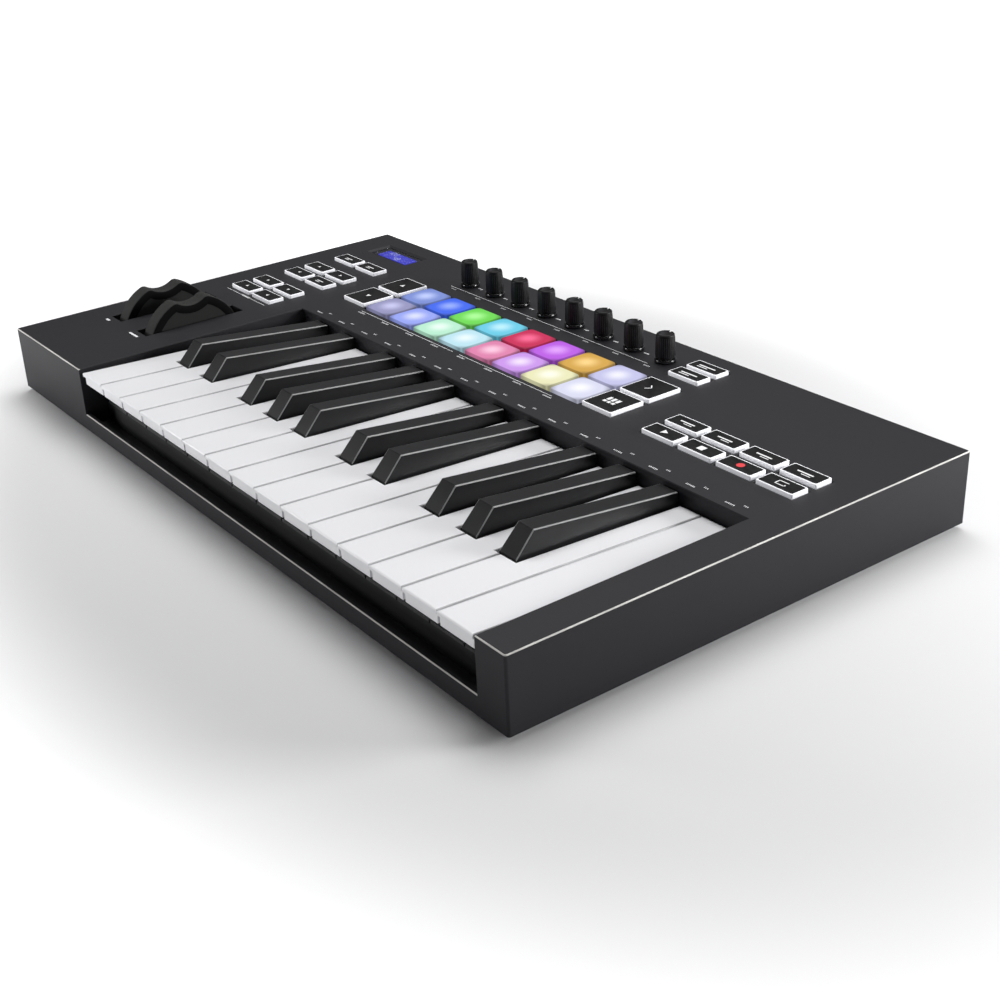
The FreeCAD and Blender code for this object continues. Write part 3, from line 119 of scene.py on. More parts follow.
class PadColour(bpy.types.PropertyGroup):
    """Colour of one lit pad."""

    hue: FloatProperty(name="Hue", description="Hue in degrees", default=240.0, min=0.0, max=360.0)
    depth: share_value("Depth", "Depth of colour at the rim", 0.4)
    heart_depth: share_value("Heart depth", "Depth of colour in the middle", 0.2)
    brightness: share_value("Brightness", "Brightness at the rim", 0.9)

    def linear(self, depth, brightness):
        """Linear colour at one depth and brightness."""
        shown = Color(colorsys.hsv_to_rgb(self.hue / 360, depth, brightness))
        return tuple(shown.from_srgb_to_scene_linear())


class CaseSettings(bpy.types.PropertyGroup):
    """Case and panel print."""

    shell: colour_value("Shell", "Colour of the case", (0.014, 0.0136, 0.0165))
    roughness: share_value("Roughness", "Roughness of the moulded panel", 0.56)
    grain: length_value("Grain", "Size of the moulded texture", 0.45 * MM)
    # painted highlight on the case's rounded outer edges
    edge: colour_value("Edge", "Colour of the bright outer edges", (0.60, 0.59, 0.56))
    print_ink: colour_value("Print", "Colour of the printed marks", (0.80, 0.80, 0.82))


class KeySettings(bpy.types.PropertyGroup):
    """Piano keys."""

    white: colour_value("White keys", "Colour of the white keys", (0.79, 0.79, 0.81))
    # painted shade on the white keys' long rounded edges, where the gaps between keys fall
    painted_gap_shade: colour_value("Gap shade", "Colour of the white keys' long edges", (0.36, 0.36, 0.37))
    black: colour_value("Black keys", "Colour of the black keys", (0.011, 0.011, 0.012))
    # painted highlight on the black keys' long rounded edges
    black_key_highlight: colour_value("Black edge", "Colour of the black keys' long edges", (0.34, 0.34, 0.34))
    white_roughness: share_value("White roughness", "Roughness of the white keys", 0.30)
    black_roughness: share_value("Black roughness", "Roughness of the black keys", 0.36)


class PadSettings(bpy.types.PropertyGroup):
    """Lit drum pads."""

    size: length_value("Size", "Side of a pad", 22.4 * MM)
    row_pitch: length_value("Row pitch", "From one row of pads to the next", 24.2 * MM)
    corner: length_value("Corner", "Radius of a pad's corners", 2.6 * MM)
    crown: length_value("Crown", "Height of the pad's middle over its rim", 0.35 * MM)
    light: strength_value("Light", "Strength of the light in the pads", 1.02)
    colours: CollectionProperty(type=PadColour)


class ButtonSettings(bpy.types.PropertyGroup):
    """Push buttons with a pale skirt and a black cap."""

    border: length_value("Border", "Width of the skirt that shows round the cap", 0.72 * MM)
    corner: length_value("Corner", "Radius of a button's corners", 0.9 * MM)
    skirt: colour_value("Skirt", "Colour of the translucent skirt", (0.88, 0.88, 0.90))
    cap: colour_value("Cap", "Colour of the cap", (0.004, 0.004, 0.0045))
    mark: colour_value("Mark", "Colour of the marks on the caps", (0.85, 0.85, 0.86))
    record: colour_value("Record mark", "Colour of the record dot", (0.70, 0.03, 0.04))


class KnobSettings(bpy.types.PropertyGroup):
    """Rotary knobs."""

    ribs: IntProperty(name="Ribs", description="Grip ribs round a knob", default=30, min=3)
    rib_width: length_value("Rib width", "Width of a grip rib", 0.5 * MM)
    body: colour_value("Body", "Colour of the knobs", (0.003, 0.003, 0.0034))
    pointer: colour_value("Pointer", "Colour of the pointer line", (0.75, 0.75, 0.75))


class WheelSettings(bpy.types.PropertyGroup):
    """Pitch and modulation wheels."""

    rim: colour_value("Rim", "Colour of the soft rim", (0.026, 0.026, 0.025))
    flank: colour_value("Flank", "Colour of the wheels' sides", (0.008, 0.008, 0.0085))
    pimple: length_value("Pimple", "Radius of a pimple on the rim", 0.26 * MM)
    spacing: length_value("Spacing", "Least distance between two pimples", 0.72 * MM)


class DisplaySettings(bpy.types.PropertyGroup):
    """Lit segment display."""

    glow: colour_value("Glow", "Colour of the backlight", (0.030, 0.030, 0.80))
    segment: colour_value("Segment", "Colour of a lit segment", (0.62, 0.66, 1.0))
    light: strength_value("Light", "Strength of the backlight", 0.95)


class StageSettings(bpy.types.PropertyGroup):
    """Floor, lights and camera."""

    camera_place: FloatVectorProperty(
        name="Camera", description="Where the camera stands", subtype="TRANSLATION",
        default=(0.6064, -0.4023, 0.3310),
    )
    camera_turn: FloatVectorProperty(
        name="Camera turn", description="How the camera is turned", subtype="EULER",
        default=(math.radians(63.594), math.radians(3.071), math.radians(54.341)),
    )
    lens: FloatProperty(name="Lens", description="Focal length in millimetres", default=55.34)
    shift: FloatProperty(name="Shift", description="Sideways lens shift", default=0.05)
    key_light: power_value("Key light", "Power of the overhead light", 42.0)
    sheen_light: power_value("Sheen light", "Power of the low light behind", 0.7)
    front_light: power_value("Front light", "Power of the front light", 2.4)
    side_light: power_value("Side light", "Power of the side light", 5.5)
    sky: strength_value("Sky", "Strength of the room's own light", 0.07)
    # painted glow on the floor away from the case
    floor_glow: strength_value("Floor glow", "Light of the far floor", 0.95)
    floor: colour_value("Floor", "Colour of the floor", (0.66, 0.66, 0.665))


SETTINGS = {
    "keyboard_case": CaseSettings,
    "keyboard_keys": KeySettings,
    "keyboard_pads": PadSettings,
    "keyboard_buttons": ButtonSettings,
    "keyboard_knobs": KnobSettings,
    "keyboard_wheels": WheelSettings,
    "keyboard_display": DisplaySettings,
    "keyboard_stage": StageSettings,
}


# ------------------------------------------------------------------ places from the frame
def middle(node):
    low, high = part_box(node)
    return (low + high) / 2


def panel_height():
    """The panel's upper surface."""
    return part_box("top_case")[1].z


def knob_nodes():
    return ["knob_%d" % number for number in range(1, 9)]


def pad_columns():
    """Pads stand in line with the knobs behind them."""
    return [middle(node).x for node in knob_nodes()]


def pad_places():
    pads = bpy.context.scene.keyboard_pads
    centre = middle("pad_mat").y
    rows = (centre - pads.row_pitch / 2, centre + pads.row_pitch / 2)
    return [(x, y) for y in rows for x in pad_columns()]


KEYPADS = ("left_keypad", "left_bank_keypad", "right_bank_keypad", "transport_keypad")
SMALL_BUTTON = (21.2 * MM, 10.2 * MM)
PAGE_BUTTON = (21.2 * MM, 9.6 * MM)
BIG_BUTTON = (21.4 * MM, 21.4 * MM)
MAT_EDGE = 3.0 * MM             # mat beyond its first and last rows of buttons
WEB_T = 1.3 * MM                # dark sheet of a mat
WEB_CHAMFER = 0.2 * MM
WEB_EDGE_R = 0.3 * MM
PAD_WEB_CORNER = 1.5 * MM
BUTTON_WEB_CORNER = 1.2 * MM
STAND = 0.6 * MM                # pads and skirts start this far above the mat's underside
LEFT_ROW_STEPS = (0.0, 14.4 * MM, 36.7 * MM, 51.2 * MM, 73.3 * MM)     # rows from the first one
TRANSPORT_STEP = 24.15 * MM
TRANSPORT_ROW_STEP = 14.5 * MM
BANK_STEP = 24.2 * MM
PAGE_STEP = 12.6 * MM


def left_places():
    low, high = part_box("left_keypad")
    inset = MAT_EDGE + SMALL_BUTTON[0] / 2
    first = low.y + MAT_EDGE + SMALL_BUTTON[1] / 2
    return [(x, first + step) for step in LEFT_ROW_STEPS for x in (low.x + inset, high.x - inset)]


def left_bank_places():
    centre = middle("left_bank_keypad")
    return [(centre.x, centre.y - BANK_STEP / 2), (centre.x, centre.y + BANK_STEP / 2)]


def right_bank_places():
    low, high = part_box("right_bank_keypad")
    first = low.y + MAT_EDGE + BIG_BUTTON[1] / 2
    x = (low.x + high.x) / 2
    return [(x, first), (x, first + BANK_STEP)]


def page_places():
    low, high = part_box("right_bank_keypad")
    last = high.y - MAT_EDGE - PAGE_BUTTON[1] / 2
    x = (low.x + high.x) / 2
    return [(x, last - PAGE_STEP), (x, last)]


def transport_places():
    low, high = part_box("transport_keypad")
    x0 = low.x + MAT_EDGE + SMALL_BUTTON[0] / 2
    y0 = low.y + MAT_EDGE + SMALL_BUTTON[1] / 2
    columns = [x0 + column * TRANSPORT_STEP for column in range(4)]
    return [(x, y0 + row * TRANSPORT_ROW_STEP) for row in range(2) for x in columns]


# ------------------------------------------------------------------ mesh helpers
def add_piece(name, mesh, body, slot, *materials):
    """Put a finished mesh in the scene, on its body."""
    for material in materials:
        mesh.materials.append(material)
    mesh.name = name
    piece = bpy.data.objects.new(name, mesh)
    bpy.context.scene.collection.objects.link(piece)
    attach(piece, body)
    return piece


def mesh_from(name, shape, smooth=True):
    """Mesh from a bmesh, shaded smooth but for its sharp edges."""
    bmesh.ops.remove_doubles(shape, verts=shape.verts, dist=1e-7)
    bmesh.ops.recalc_face_normals(shape, faces=shape.faces)
    mesh = bpy.data.meshes.new(name)
    shape.to_mesh(mesh)
    shape.free()
    if smooth:
        mesh.shade_smooth()
        mesh.set_sharp_from_angle(angle=SHARP_EDGE)
    return mesh


def rounded_outline(half_x, half_y, radius, steps=5):
    """Points round a rectangle with round corners, counter-clockwise."""
    points = []
    centres = ((1, 1), (-1, 1), (-1, -1), (1, -1))
    for corner, (side_x, side_y) in enumerate(centres):
        for step in range(steps + 1):
            angle = (corner + step / steps) * math.pi / 2
            x = side_x * (half_x - radius) + radius * math.cos(angle)
            y = side_y * (half_y - radius) + radius * math.sin(angle)
            points.append((x, y))
    return points


def circle_outline(radius, count):
    return [(radius * math.cos(2 * math.pi * i / count), radius * math.sin(2 * math.pi * i / count))
            for i in range(count)]


def add_loft(shape, rings):
    """Closed skin through rings of equal length; the first and last rings are filled."""
    rows = [[shape.verts.new(point) for point in ring] for ring in rings]
    for below, above in zip(rows, rows[1:]):
        for index in range(len(below)):
            following = (index + 1) % len(below)
            shape.faces.new((below[index], below[following], above[following], above[index]))
    shape.faces.new(reversed(rows[0]))
    shape.faces.new(rows[-1])


def slab_rings(half_x, half_y, radius, levels, centre=(0.0, 0.0)):
    """Rounded rectangles drawn in by each level's inset, at its height."""
    rings = []
    for inset, height in levels:
        corner = max(radius - inset, LEAST_CORNER)
        outline = rounded_outline(half_x - inset, half_y - inset, corner)
        rings.append([(x + centre[0], y + centre[1], height) for x, y in outline])
    return rings


def edge_levels(radius, top, steps=4):
    """Insets and heights round a quarter-round edge that ends at the top."""
    levels = []
    for step in range(steps + 1):
        angle = step / steps * math.pi / 2
        levels.append((radius * (1 - math.cos(angle)), top - radius + radius * math.sin(angle)))
    return levels


def add_prism(shape, outline, low, high):
    """Upright prism on an outline of (x, y) points."""
    add_loft(shape, [[(x, y, low) for x, y in outline], [(x, y, high) for x, y in outline]])


def add_bar(shape, x, y, length, width, low, high, turn=0.0):
    """Flat bar centred on (x, y), turned about it."""
    c, s = math.cos(turn), math.sin(turn)
    corners = ((-length, -width), (length, -width), (length, width), (-length, width))
    outline = [(x + (a * c - b * s) / 2, y + (a * s + b * c) / 2) for a, b in corners]
    add_prism(shape, outline, low, high)


def plan_of(node):
    """Half width, half depth and centre of a node, seen from above."""
    low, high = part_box(node)
    return (high.x - low.x) / 2, (high.y - low.y) / 2, ((low.x + high.x) / 2, (low.y + high.y) / 2)


def add_mat_web(name, node, slot, corner, rubber):
    """The dark sheet that a mat's pads or buttons stand on."""
    half_x, half_y, centre = plan_of(node)
    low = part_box(node)[0].z
    levels = [(WEB_CHAMFER, low), (0.0, low + WEB_CHAMFER)] + edge_levels(WEB_EDGE_R, low + WEB_T, 3)
    shape = bmesh.new()
    add_loft(shape, slab_rings(half_x, half_y, corner, levels, centre))
    return add_piece(name, mesh_from(name, shape), node, slot, rubber)


def places_mesh(name, points, colours=None):
    """Loose points, each with its colours if named lists of colours are given."""
    mesh = bpy.data.meshes.new(name)
    mesh.from_pydata(points, [], [])
    for label, values in (colours or {}).items():
        attribute = mesh.attributes.new(label, "FLOAT_COLOR", "POINT")
        for index, colour in enumerate(values):
            attribute.data[index].color = (*colour, 1.0)
    return mesh


# ------------------------------------------------------------------ geometry trees
def new_tree(name, inputs):
    """Geometry tree with a Geometry socket at each end and named inputs."""
    tree = bpy.data.node_groups.new(name, "GeometryNodeTree")
    tree.interface.new_socket("Geometry", in_out="INPUT", socket_type="NodeSocketGeometry")
    for label, kind in inputs:
        tree.interface.new_socket(label, in_out="INPUT", socket_type=kind)
    tree.interface.new_socket("Geometry", in_out="OUTPUT", socket_type="NodeSocketGeometry")
    return tree


def finish_tree(tree, source, instances):
    """Realize the instances, set the finish and close the tree."""
    realize = tree.nodes.new("GeometryNodeRealizeInstances")
    paint = tree.nodes.new("GeometryNodeSetMaterial")
    output = tree.nodes.new("NodeGroupOutput")
    tree.links.new(instances, realize.inputs["Geometry"])
    tree.links.new(realize.outputs["Geometry"], paint.inputs["Geometry"])
    tree.links.new(source.outputs["Finish"], paint.inputs["Material"])
    tree.links.new(paint.outputs["Geometry"], output.inputs["Geometry"])
    return tree


def placed_copies_tree():
    """A copy of the template on every point."""
    tree = new_tree("Placed Copies", [("Template", "NodeSocketObject"), ("Finish", "NodeSocketMaterial")])
    source = tree.nodes.new("NodeGroupInput")
    template = tree.nodes.new("GeometryNodeObjectInfo")
    copies = tree.nodes.new("GeometryNodeInstanceOnPoints")
    tree.links.new(source.outputs["Template"], template.inputs["Object"])
    tree.links.new(source.outputs["Geometry"], copies.inputs["Points"])
    tree.links.new(template.outputs["Geometry"], copies.inputs["Instance"])
    return finish_tree(tree, source, copies.outputs["Instances"])


def ring_of_copies_tree():
    """Copies of the template turned evenly about the upright axis through every point."""
    inputs = [("Template", "NodeSocketObject"), ("Count", "NodeSocketInt"), ("Radius", "NodeSocketFloat"),
              ("Finish", "NodeSocketMaterial")]
    tree = new_tree("Ring Of Copies", inputs)
    source = tree.nodes.new("NodeGroupInput")
    template = tree.nodes.new("GeometryNodeObjectInfo")
    circle = tree.nodes.new("GeometryNodeMeshCircle")
    index = tree.nodes.new("GeometryNodeInputIndex")
    share = tree.nodes.new("ShaderNodeMath")
    share.operation = "DIVIDE"
    turn = tree.nodes.new("ShaderNodeMath")
    turn.operation = "MULTIPLY"
    turn.inputs[1].default_value = 2 * math.pi
    spin = tree.nodes.new("ShaderNodeCombineXYZ")
    copies = tree.nodes.new("GeometryNodeInstanceOnPoints")
    rings = tree.nodes.new("GeometryNodeInstanceOnPoints")
    tree.links.new(source.outputs["Template"], template.inputs["Object"])
    tree.links.new(source.outputs["Count"], circle.inputs["Vertices"])
    tree.links.new(source.outputs["Radius"], circle.inputs["Radius"])
    tree.links.new(index.outputs["Index"], share.inputs[0])
    tree.links.new(source.outputs["Count"], share.inputs[1])
    tree.links.new(share.outputs["Value"], turn.inputs[0])
    tree.links.new(turn.outputs["Value"], spin.inputs["Z"])
    tree.links.new(circle.outputs["Mesh"], copies.inputs["Points"])
    tree.links.new(template.outputs["Geometry"], copies.inputs["Instance"])
    tree.links.new(spin.outputs["Vector"], copies.inputs["Rotation"])
    tree.links.new(source.outputs["Geometry"], rings.inputs["Points"])
    tree.links.new(copies.outputs["Instances"], rings.inputs["Instance"])
    return finish_tree(tree, source, rings.outputs["Instances"])


def pimples_tree():
    """Small domes scattered over a surface, standing along its normals."""
    inputs = [("Spacing", "NodeSocketFloat"), ("Radius", "NodeSocketFloat"), ("Seed", "NodeSocketInt"),
              ("Finish", "NodeSocketMaterial")]
    tree = new_tree("Rim Pimples", inputs)
    source = tree.nodes.new("NodeGroupInput")
    scatter = tree.nodes.new("GeometryNodeDistributePointsOnFaces")
    scatter.distribute_method = "POISSON"
    scatter.inputs["Density Max"].default_value = PIMPLE_DENSITY
    dome = tree.nodes.new("GeometryNodeMeshIcoSphere")
    dome.inputs["Subdivisions"].default_value = 2
    flat = tree.nodes.new("GeometryNodeTransform")
    flat.inputs["Scale"].default_value = (1.0, 1.0, PIMPLE_FLATNESS)
    copies = tree.nodes.new("GeometryNodeInstanceOnPoints")
    tree.links.new(source.outputs["Geometry"], scatter.inputs["Mesh"])
    tree.links.new(source.outputs["Spacing"], scatter.inputs["Distance Min"])
    tree.links.new(source.outputs["Seed"], scatter.inputs["Seed"])
    tree.links.new(source.outputs["Radius"], dome.inputs["Radius"])
    tree.links.new(dome.outputs["Mesh"], flat.inputs["Geometry"])
    tree.links.new(scatter.outputs["Points"], copies.inputs["Points"])
    tree.links.new(scatter.outputs["Rotation"], copies.inputs["Rotation"])
    tree.links.new(flat.outputs["Geometry"], copies.inputs["Instance"])
    return finish_tree(tree, source, copies.outputs["Instances"])


def tick_row_tree():
    """A row of thin printed bars along X from every point."""
    inputs = [("Count", "NodeSocketInt"), ("Step", "NodeSocketFloat"), ("Length", "NodeSocketFloat"),
              ("Width", "NodeSocketFloat"), ("Thickness", "NodeSocketFloat"),
              ("Finish", "NodeSocketMaterial")]
    tree = new_tree("Tick Row", inputs)
    source = tree.nodes.new("NodeGroupInput")
    offset = tree.nodes.new("ShaderNodeCombineXYZ")
    row = tree.nodes.new("GeometryNodeMeshLine")
    size = tree.nodes.new("ShaderNodeCombineXYZ")
    tick = tree.nodes.new("GeometryNodeMeshCube")
    ticks = tree.nodes.new("GeometryNodeInstanceOnPoints")
    rows = tree.nodes.new("GeometryNodeInstanceOnPoints")
    tree.links.new(source.outputs["Step"], offset.inputs["X"])
    tree.links.new(source.outputs["Count"], row.inputs["Count"])
    tree.links.new(offset.outputs["Vector"], row.inputs["Offset"])
    tree.links.new(source.outputs["Length"], size.inputs["X"])
    tree.links.new(source.outputs["Width"], size.inputs["Y"])
    tree.links.new(source.outputs["Thickness"], size.inputs["Z"])
    tree.links.new(size.outputs["Vector"], tick.inputs["Size"])
    tree.links.new(row.outputs["Mesh"], ticks.inputs["Points"])
    tree.links.new(tick.outputs["Mesh"], ticks.inputs["Instance"])
    tree.links.new(source.outputs["Geometry"], rows.inputs["Points"])
    tree.links.new(ticks.outputs["Instances"], rows.inputs["Instance"])
    return finish_tree(tree, source, rows.outputs["Instances"])


def grown(tree, base, values):
    """Run the tree on a base mesh and give its result as a plain mesh."""
    scene = bpy.context.scene
    host = bpy.data.objects.new("grown_base", base)
    scene.collection.objects.link(host)
    modifier = host.modifiers.new(tree.name, "NODES")
    modifier.node_group = tree
    for item in tree.interface.items_tree:
        if item.in_out == "INPUT" and item.name in values:
            modifier[item.identifier] = values[item.name]
    graph = bpy.context.evaluated_depsgraph_get()
    mesh = bpy.data.meshes.new_from_object(host.evaluated_get(graph))
    host.modifiers.remove(modifier)
    bpy.data.objects.remove(host)
    return mesh


def copies_of(template_mesh, points, finish, colours=None):
    """Plain mesh of the template at every point."""
    template = bpy.data.objects.new("copy_template", template_mesh)
    bpy.context.scene.collection.objects.link(template)
    base = places_mesh("copy_places", points, colours)
    mesh = grown(placed_copies_tree(), base, {"Template": template, "Finish": finish})
    bpy.data.objects.remove(template)
    return mesh


# ------------------------------------------------------------------ shared shader groups
def new_group(name, inputs, outputs):
    group = bpy.data.node_groups.new(name, "ShaderNodeTree")
    for label, kind, value in inputs:
        socket = group.interface.new_socket(label, in_out="INPUT", socket_type=kind)
        socket.default_value = value
    for label, kind in outputs:
        group.interface.new_socket(label, in_out="OUTPUT", socket_type=kind)
    return group, group.nodes.new("NodeGroupInput"), group.nodes.new("NodeGroupOutput")


def math_node(tree, operation, first, second):
    """Math node on two sockets or numbers; its output socket."""
    node = tree.nodes.new("ShaderNodeMath")
    node.operation = operation
    for slot, value in enumerate((first, second)):
        if isinstance(value, (int, float)):
            node.inputs[slot].default_value = value
        else:
            tree.links.new(value, node.inputs[slot])
    return node.outputs["Value"]


def noise_node(tree, vector, scale, detail):
    noise = tree.nodes.new("ShaderNodeTexNoise")
    noise.inputs["Detail"].default_value = detail
    tree.links.new(vector, noise.inputs["Vector"])
    if isinstance(scale, (int, float)):
        noise.inputs["Scale"].default_value = scale
    else:
        tree.links.new(scale, noise.inputs["Scale"])
    return noise.outputs["Fac"]


def mix_colour(tree, share, first, second):
    """Mix of two colours, each a socket or a tuple; its output socket."""
    node = tree.nodes.new("ShaderNodeMix")
    node.data_type = "RGBA"
    tree.links.new(share, node.inputs["Factor"])
    for slot, value in ((6, first), (7, second)):
        if isinstance(value, tuple):
            node.inputs[slot].default_value = value
        else:
            tree.links.new(value, node.inputs[slot])
    return node.outputs[2]


def moulded_texture_group():
    """Fine moulded grain with a slow drift of tone and roughness."""
    name = "Moulded Texture"
    if name in bpy.data.node_groups:
        return bpy.data.node_groups[name]
    inputs = [("Colour", "NodeSocketColor", (0.5, 0.5, 0.5, 1.0)), ("Grain Size", "NodeSocketFloat", 0.0005),
              ("Drift", "NodeSocketFloat", 0.1), ("Roughness", "NodeSocketFloat", 0.5),
              ("Roughness Spread", "NodeSocketFloat", 0.1), ("Speckle", "NodeSocketFloat", 0.25)]
    outputs = [("Colour", "NodeSocketColor"), ("Roughness", "NodeSocketFloat"), ("Height", "NodeSocketFloat")]
    group, source, output = new_group(name, inputs, outputs)
    place = group.nodes.new("ShaderNodeTexCoord").outputs["Object"]
    scale = math_node(group, "DIVIDE", 1.0, source.outputs["Grain Size"])
    grain = noise_node(group, place, scale, 3.0)
    slow = noise_node(group, place, DRIFT_SCALE, 2.0)
    lift = math_node(group, "SUBTRACT", slow, 0.5)
    drift = math_node(group, "MULTIPLY", lift, source.outputs["Drift"])
    centred = math_node(group, "SUBTRACT", grain, 0.5)
    speckle = math_node(group, "MULTIPLY", centred, source.outputs["Speckle"])
    tone = math_node(group, "ADD", math_node(group, "ADD", drift, speckle), 1.0)
    scaled = group.nodes.new("ShaderNodeVectorMath")
    scaled.operation = "SCALE"
    group.links.new(source.outputs["Colour"], scaled.inputs["Vector"])
    group.links.new(tone, scaled.inputs["Scale"])
    spread = math_node(group, "MULTIPLY", lift, source.outputs["Roughness Spread"])
    rough = math_node(group, "ADD", source.outputs["Roughness"], spread)
    group.links.new(scaled.outputs["Vector"], output.inputs["Colour"])
    group.links.new(rough, output.inputs["Roughness"])
    group.links.new(grain, output.inputs["Height"])
    return group


def edge_highlight_group():
    """Mask of convex outer edges, broken into patches, where a highlight is painted."""
    name = "Edge Rub"
    if name in bpy.data.node_groups:
        return bpy.data.node_groups[name]
    inputs = [("Amount", "NodeSocketFloat", 0.3)]
    group, source, output = new_group(name, inputs, [("Mask", "NodeSocketFloat")])
    place = group.nodes.new("ShaderNodeTexCoord").outputs["Object"]
    bend = group.nodes.new("ShaderNodeNewGeometry").outputs["Pointiness"]
    edge = group.nodes.new("ShaderNodeMapRange")
    edge.inputs["From Min"].default_value, edge.inputs["From Max"].default_value = HIGHLIGHT_BEND
    group.links.new(bend, edge.inputs["Value"])
    patches = noise_node(group, place, HIGHLIGHT_PATCH_SCALE, 3.0)
    broken = math_node(group, "MULTIPLY", edge.outputs["Result"], patches)
    mask = math_node(group, "MULTIPLY", broken, source.outputs["Amount"])
    group.links.new(mask, output.inputs["Mask"])
    return group


def painted_edge_tone_group():
    """Mask of the rounded edges between the top and the upright sides, near an outer boundary, broken into
    patches; it carries painted highlights and painted shade.
    """
    name = "Edge Line"
    if name in bpy.data.node_groups:
        return bpy.data.node_groups[name]
    inputs = [("Half Width", "NodeSocketFloat", 0.1), ("Half Depth", "NodeSocketFloat", 0.1),
              ("Side Tilt", "NodeSocketFloat", -1.0), ("Amount", "NodeSocketFloat", 1.0)]
    group, source, output = new_group(name, inputs, [("Mask", "NodeSocketFloat")])
    place = group.nodes.new("ShaderNodeTexCoord").outputs["Object"]
    split = group.nodes.new("ShaderNodeSeparateXYZ")
    group.links.new(place, split.inputs["Vector"])
    normal = group.nodes.new("ShaderNodeSeparateXYZ")
    group.links.new(group.nodes.new("ShaderNodeNewGeometry").outputs["Normal"], normal.inputs["Vector"])
    beyond_x = math_node(group, "SUBTRACT", math_node(group, "ABSOLUTE", split.outputs["X"], 0.0),
                         source.outputs["Half Width"])
    beyond_y = math_node(group, "SUBTRACT", math_node(group, "ABSOLUTE", split.outputs["Y"], 0.0),
                         source.outputs["Half Depth"])
    outside = math_node(group, "GREATER_THAN", math_node(group, "MAXIMUM", beyond_x, beyond_y), 0.0)
    tilted = math_node(group, "GREATER_THAN", normal.outputs["Z"], EDGE_TILT[0])
    not_flat = math_node(group, "LESS_THAN", normal.outputs["Z"], EDGE_TILT[1])
    sideways = math_node(group, "GREATER_THAN", math_node(group, "ABSOLUTE", normal.outputs["X"], 0.0),
                         source.outputs["Side Tilt"])
    rounded = math_node(group, "MULTIPLY", math_node(group, "MULTIPLY", tilted, not_flat), sideways)
    patches = noise_node(group, place, EDGE_PATCH_SCALE, 2.0)
    patchy_paint = math_node(group, "MULTIPLY", math_node(group, "ADD", patches, 0.5), source.outputs["Amount"])
    mask = math_node(group, "MULTIPLY", math_node(group, "MULTIPLY", outside, rounded), patchy_paint)
    group.links.new(mask, output.inputs["Mask"])
    return group


def finger_marks_group():
    """Faint smears that change the gloss of handled faces."""
    name = "Finger Marks"
    if name in bpy.data.node_groups:
        return bpy.data.node_groups[name]
    inputs = [("Roughness", "NodeSocketFloat", 0.3), ("Amount", "NodeSocketFloat", 0.06)]
    group, source, output = new_group(name, inputs, [("Roughness", "NodeSocketFloat")])
    place = group.nodes.new("ShaderNodeTexCoord").outputs["Object"]
    smear = noise_node(group, place, SMEAR_SCALE, 4.0)
    centred = math_node(group, "SUBTRACT", smear, 0.5)
    change = math_node(group, "MULTIPLY", centred, source.outputs["Amount"])
    rough = math_node(group, "ADD", source.outputs["Roughness"], change)
    group.links.new(rough, output.inputs["Roughness"])
    return group


# ------------------------------------------------------------------ materials
def new_material(name):
    material = bpy.data.materials.new(name)
    material.use_nodes = True
    shader = material.node_tree.nodes["Principled BSDF"]
    return material, material.node_tree, shader


def add_group(tree, group, values):
    node = tree.nodes.new("ShaderNodeGroup")
    node.node_tree = group
    for label, value in values.items():
        node.inputs[label].default_value = value
    return node


def add_bump(tree, shader, height, distance, strength=1.0):
    bump = tree.nodes.new("ShaderNodeBump")
    bump.inputs["Distance"].default_value = distance
    bump.inputs["Strength"].default_value = strength
    tree.links.new(height, bump.inputs["Height"])
    tree.links.new(bump.outputs["Normal"], shader.inputs["Normal"])


def moulded(name, colour, roughness, grain, relief, drift=0.12, spread=0.08, speckle=0.25, **constants):
    """Moulded plastic or rubber with a fine grain."""
    material, tree, shader = new_material(name)
    texture = add_group(tree, moulded_texture_group(), {
        "Colour": (*colour, 1.0), "Grain Size": grain, "Drift": drift,
        "Roughness": roughness, "Roughness Spread": spread, "Speckle": speckle})
    tree.links.new(texture.outputs["Colour"], shader.inputs["Base Color"])
    tree.links.new(texture.outputs["Roughness"], shader.inputs["Roughness"])
    add_bump(tree, shader, texture.outputs["Height"], relief)
    for label, value in constants.items():
        shader.inputs[label.replace("_", " ")].default_value = value
    return material


def paint_edge_highlight(material, colour, amount):
    """Paint a highlight on the convex edges of a moulded material."""
    tree = material.node_tree
    shader = tree.nodes["Principled BSDF"]
    base = shader.inputs["Base Color"].links[0].from_socket
    mask = add_group(tree, edge_highlight_group(), {"Amount": amount}).outputs["Mask"]
    tree.links.new(mix_colour(tree, mask, base, (*colour, 1.0)), shader.inputs["Base Color"])
    return material


def handled(material, roughness, amount):
    """Give a moulded material faint finger marks."""
    tree = material.node_tree
    shader = tree.nodes["Principled BSDF"]
    marks = add_group(tree, finger_marks_group(), {"Roughness": roughness, "Amount": amount})
    tree.links.new(marks.outputs["Roughness"], shader.inputs["Roughness"])
    return material


def paint_edge_tone(material, colour, half_width=0.0, half_depth=0.0, side_tilt=-1.0):
    """Paint a colour on the rounded edges outside a plan, and only those leaning sideways if side_tilt is
    above 0: a lighter colour gives a painted highlight, a darker one painted shade.
    """
    tree = material.node_tree
    shader = tree.nodes["Principled BSDF"]
    base = shader.inputs["Base Color"].links[0].from_socket
    values = {"Half Width": half_width, "Half Depth": half_depth, "Side Tilt": side_tilt, "Amount": EDGE_PAINT_AMOUNT}
    mask = add_group(tree, painted_edge_tone_group(), values).outputs["Mask"]
    tree.links.new(mix_colour(tree, mask, base, (*colour, 1.0)), shader.inputs["Base Color"])
    return material


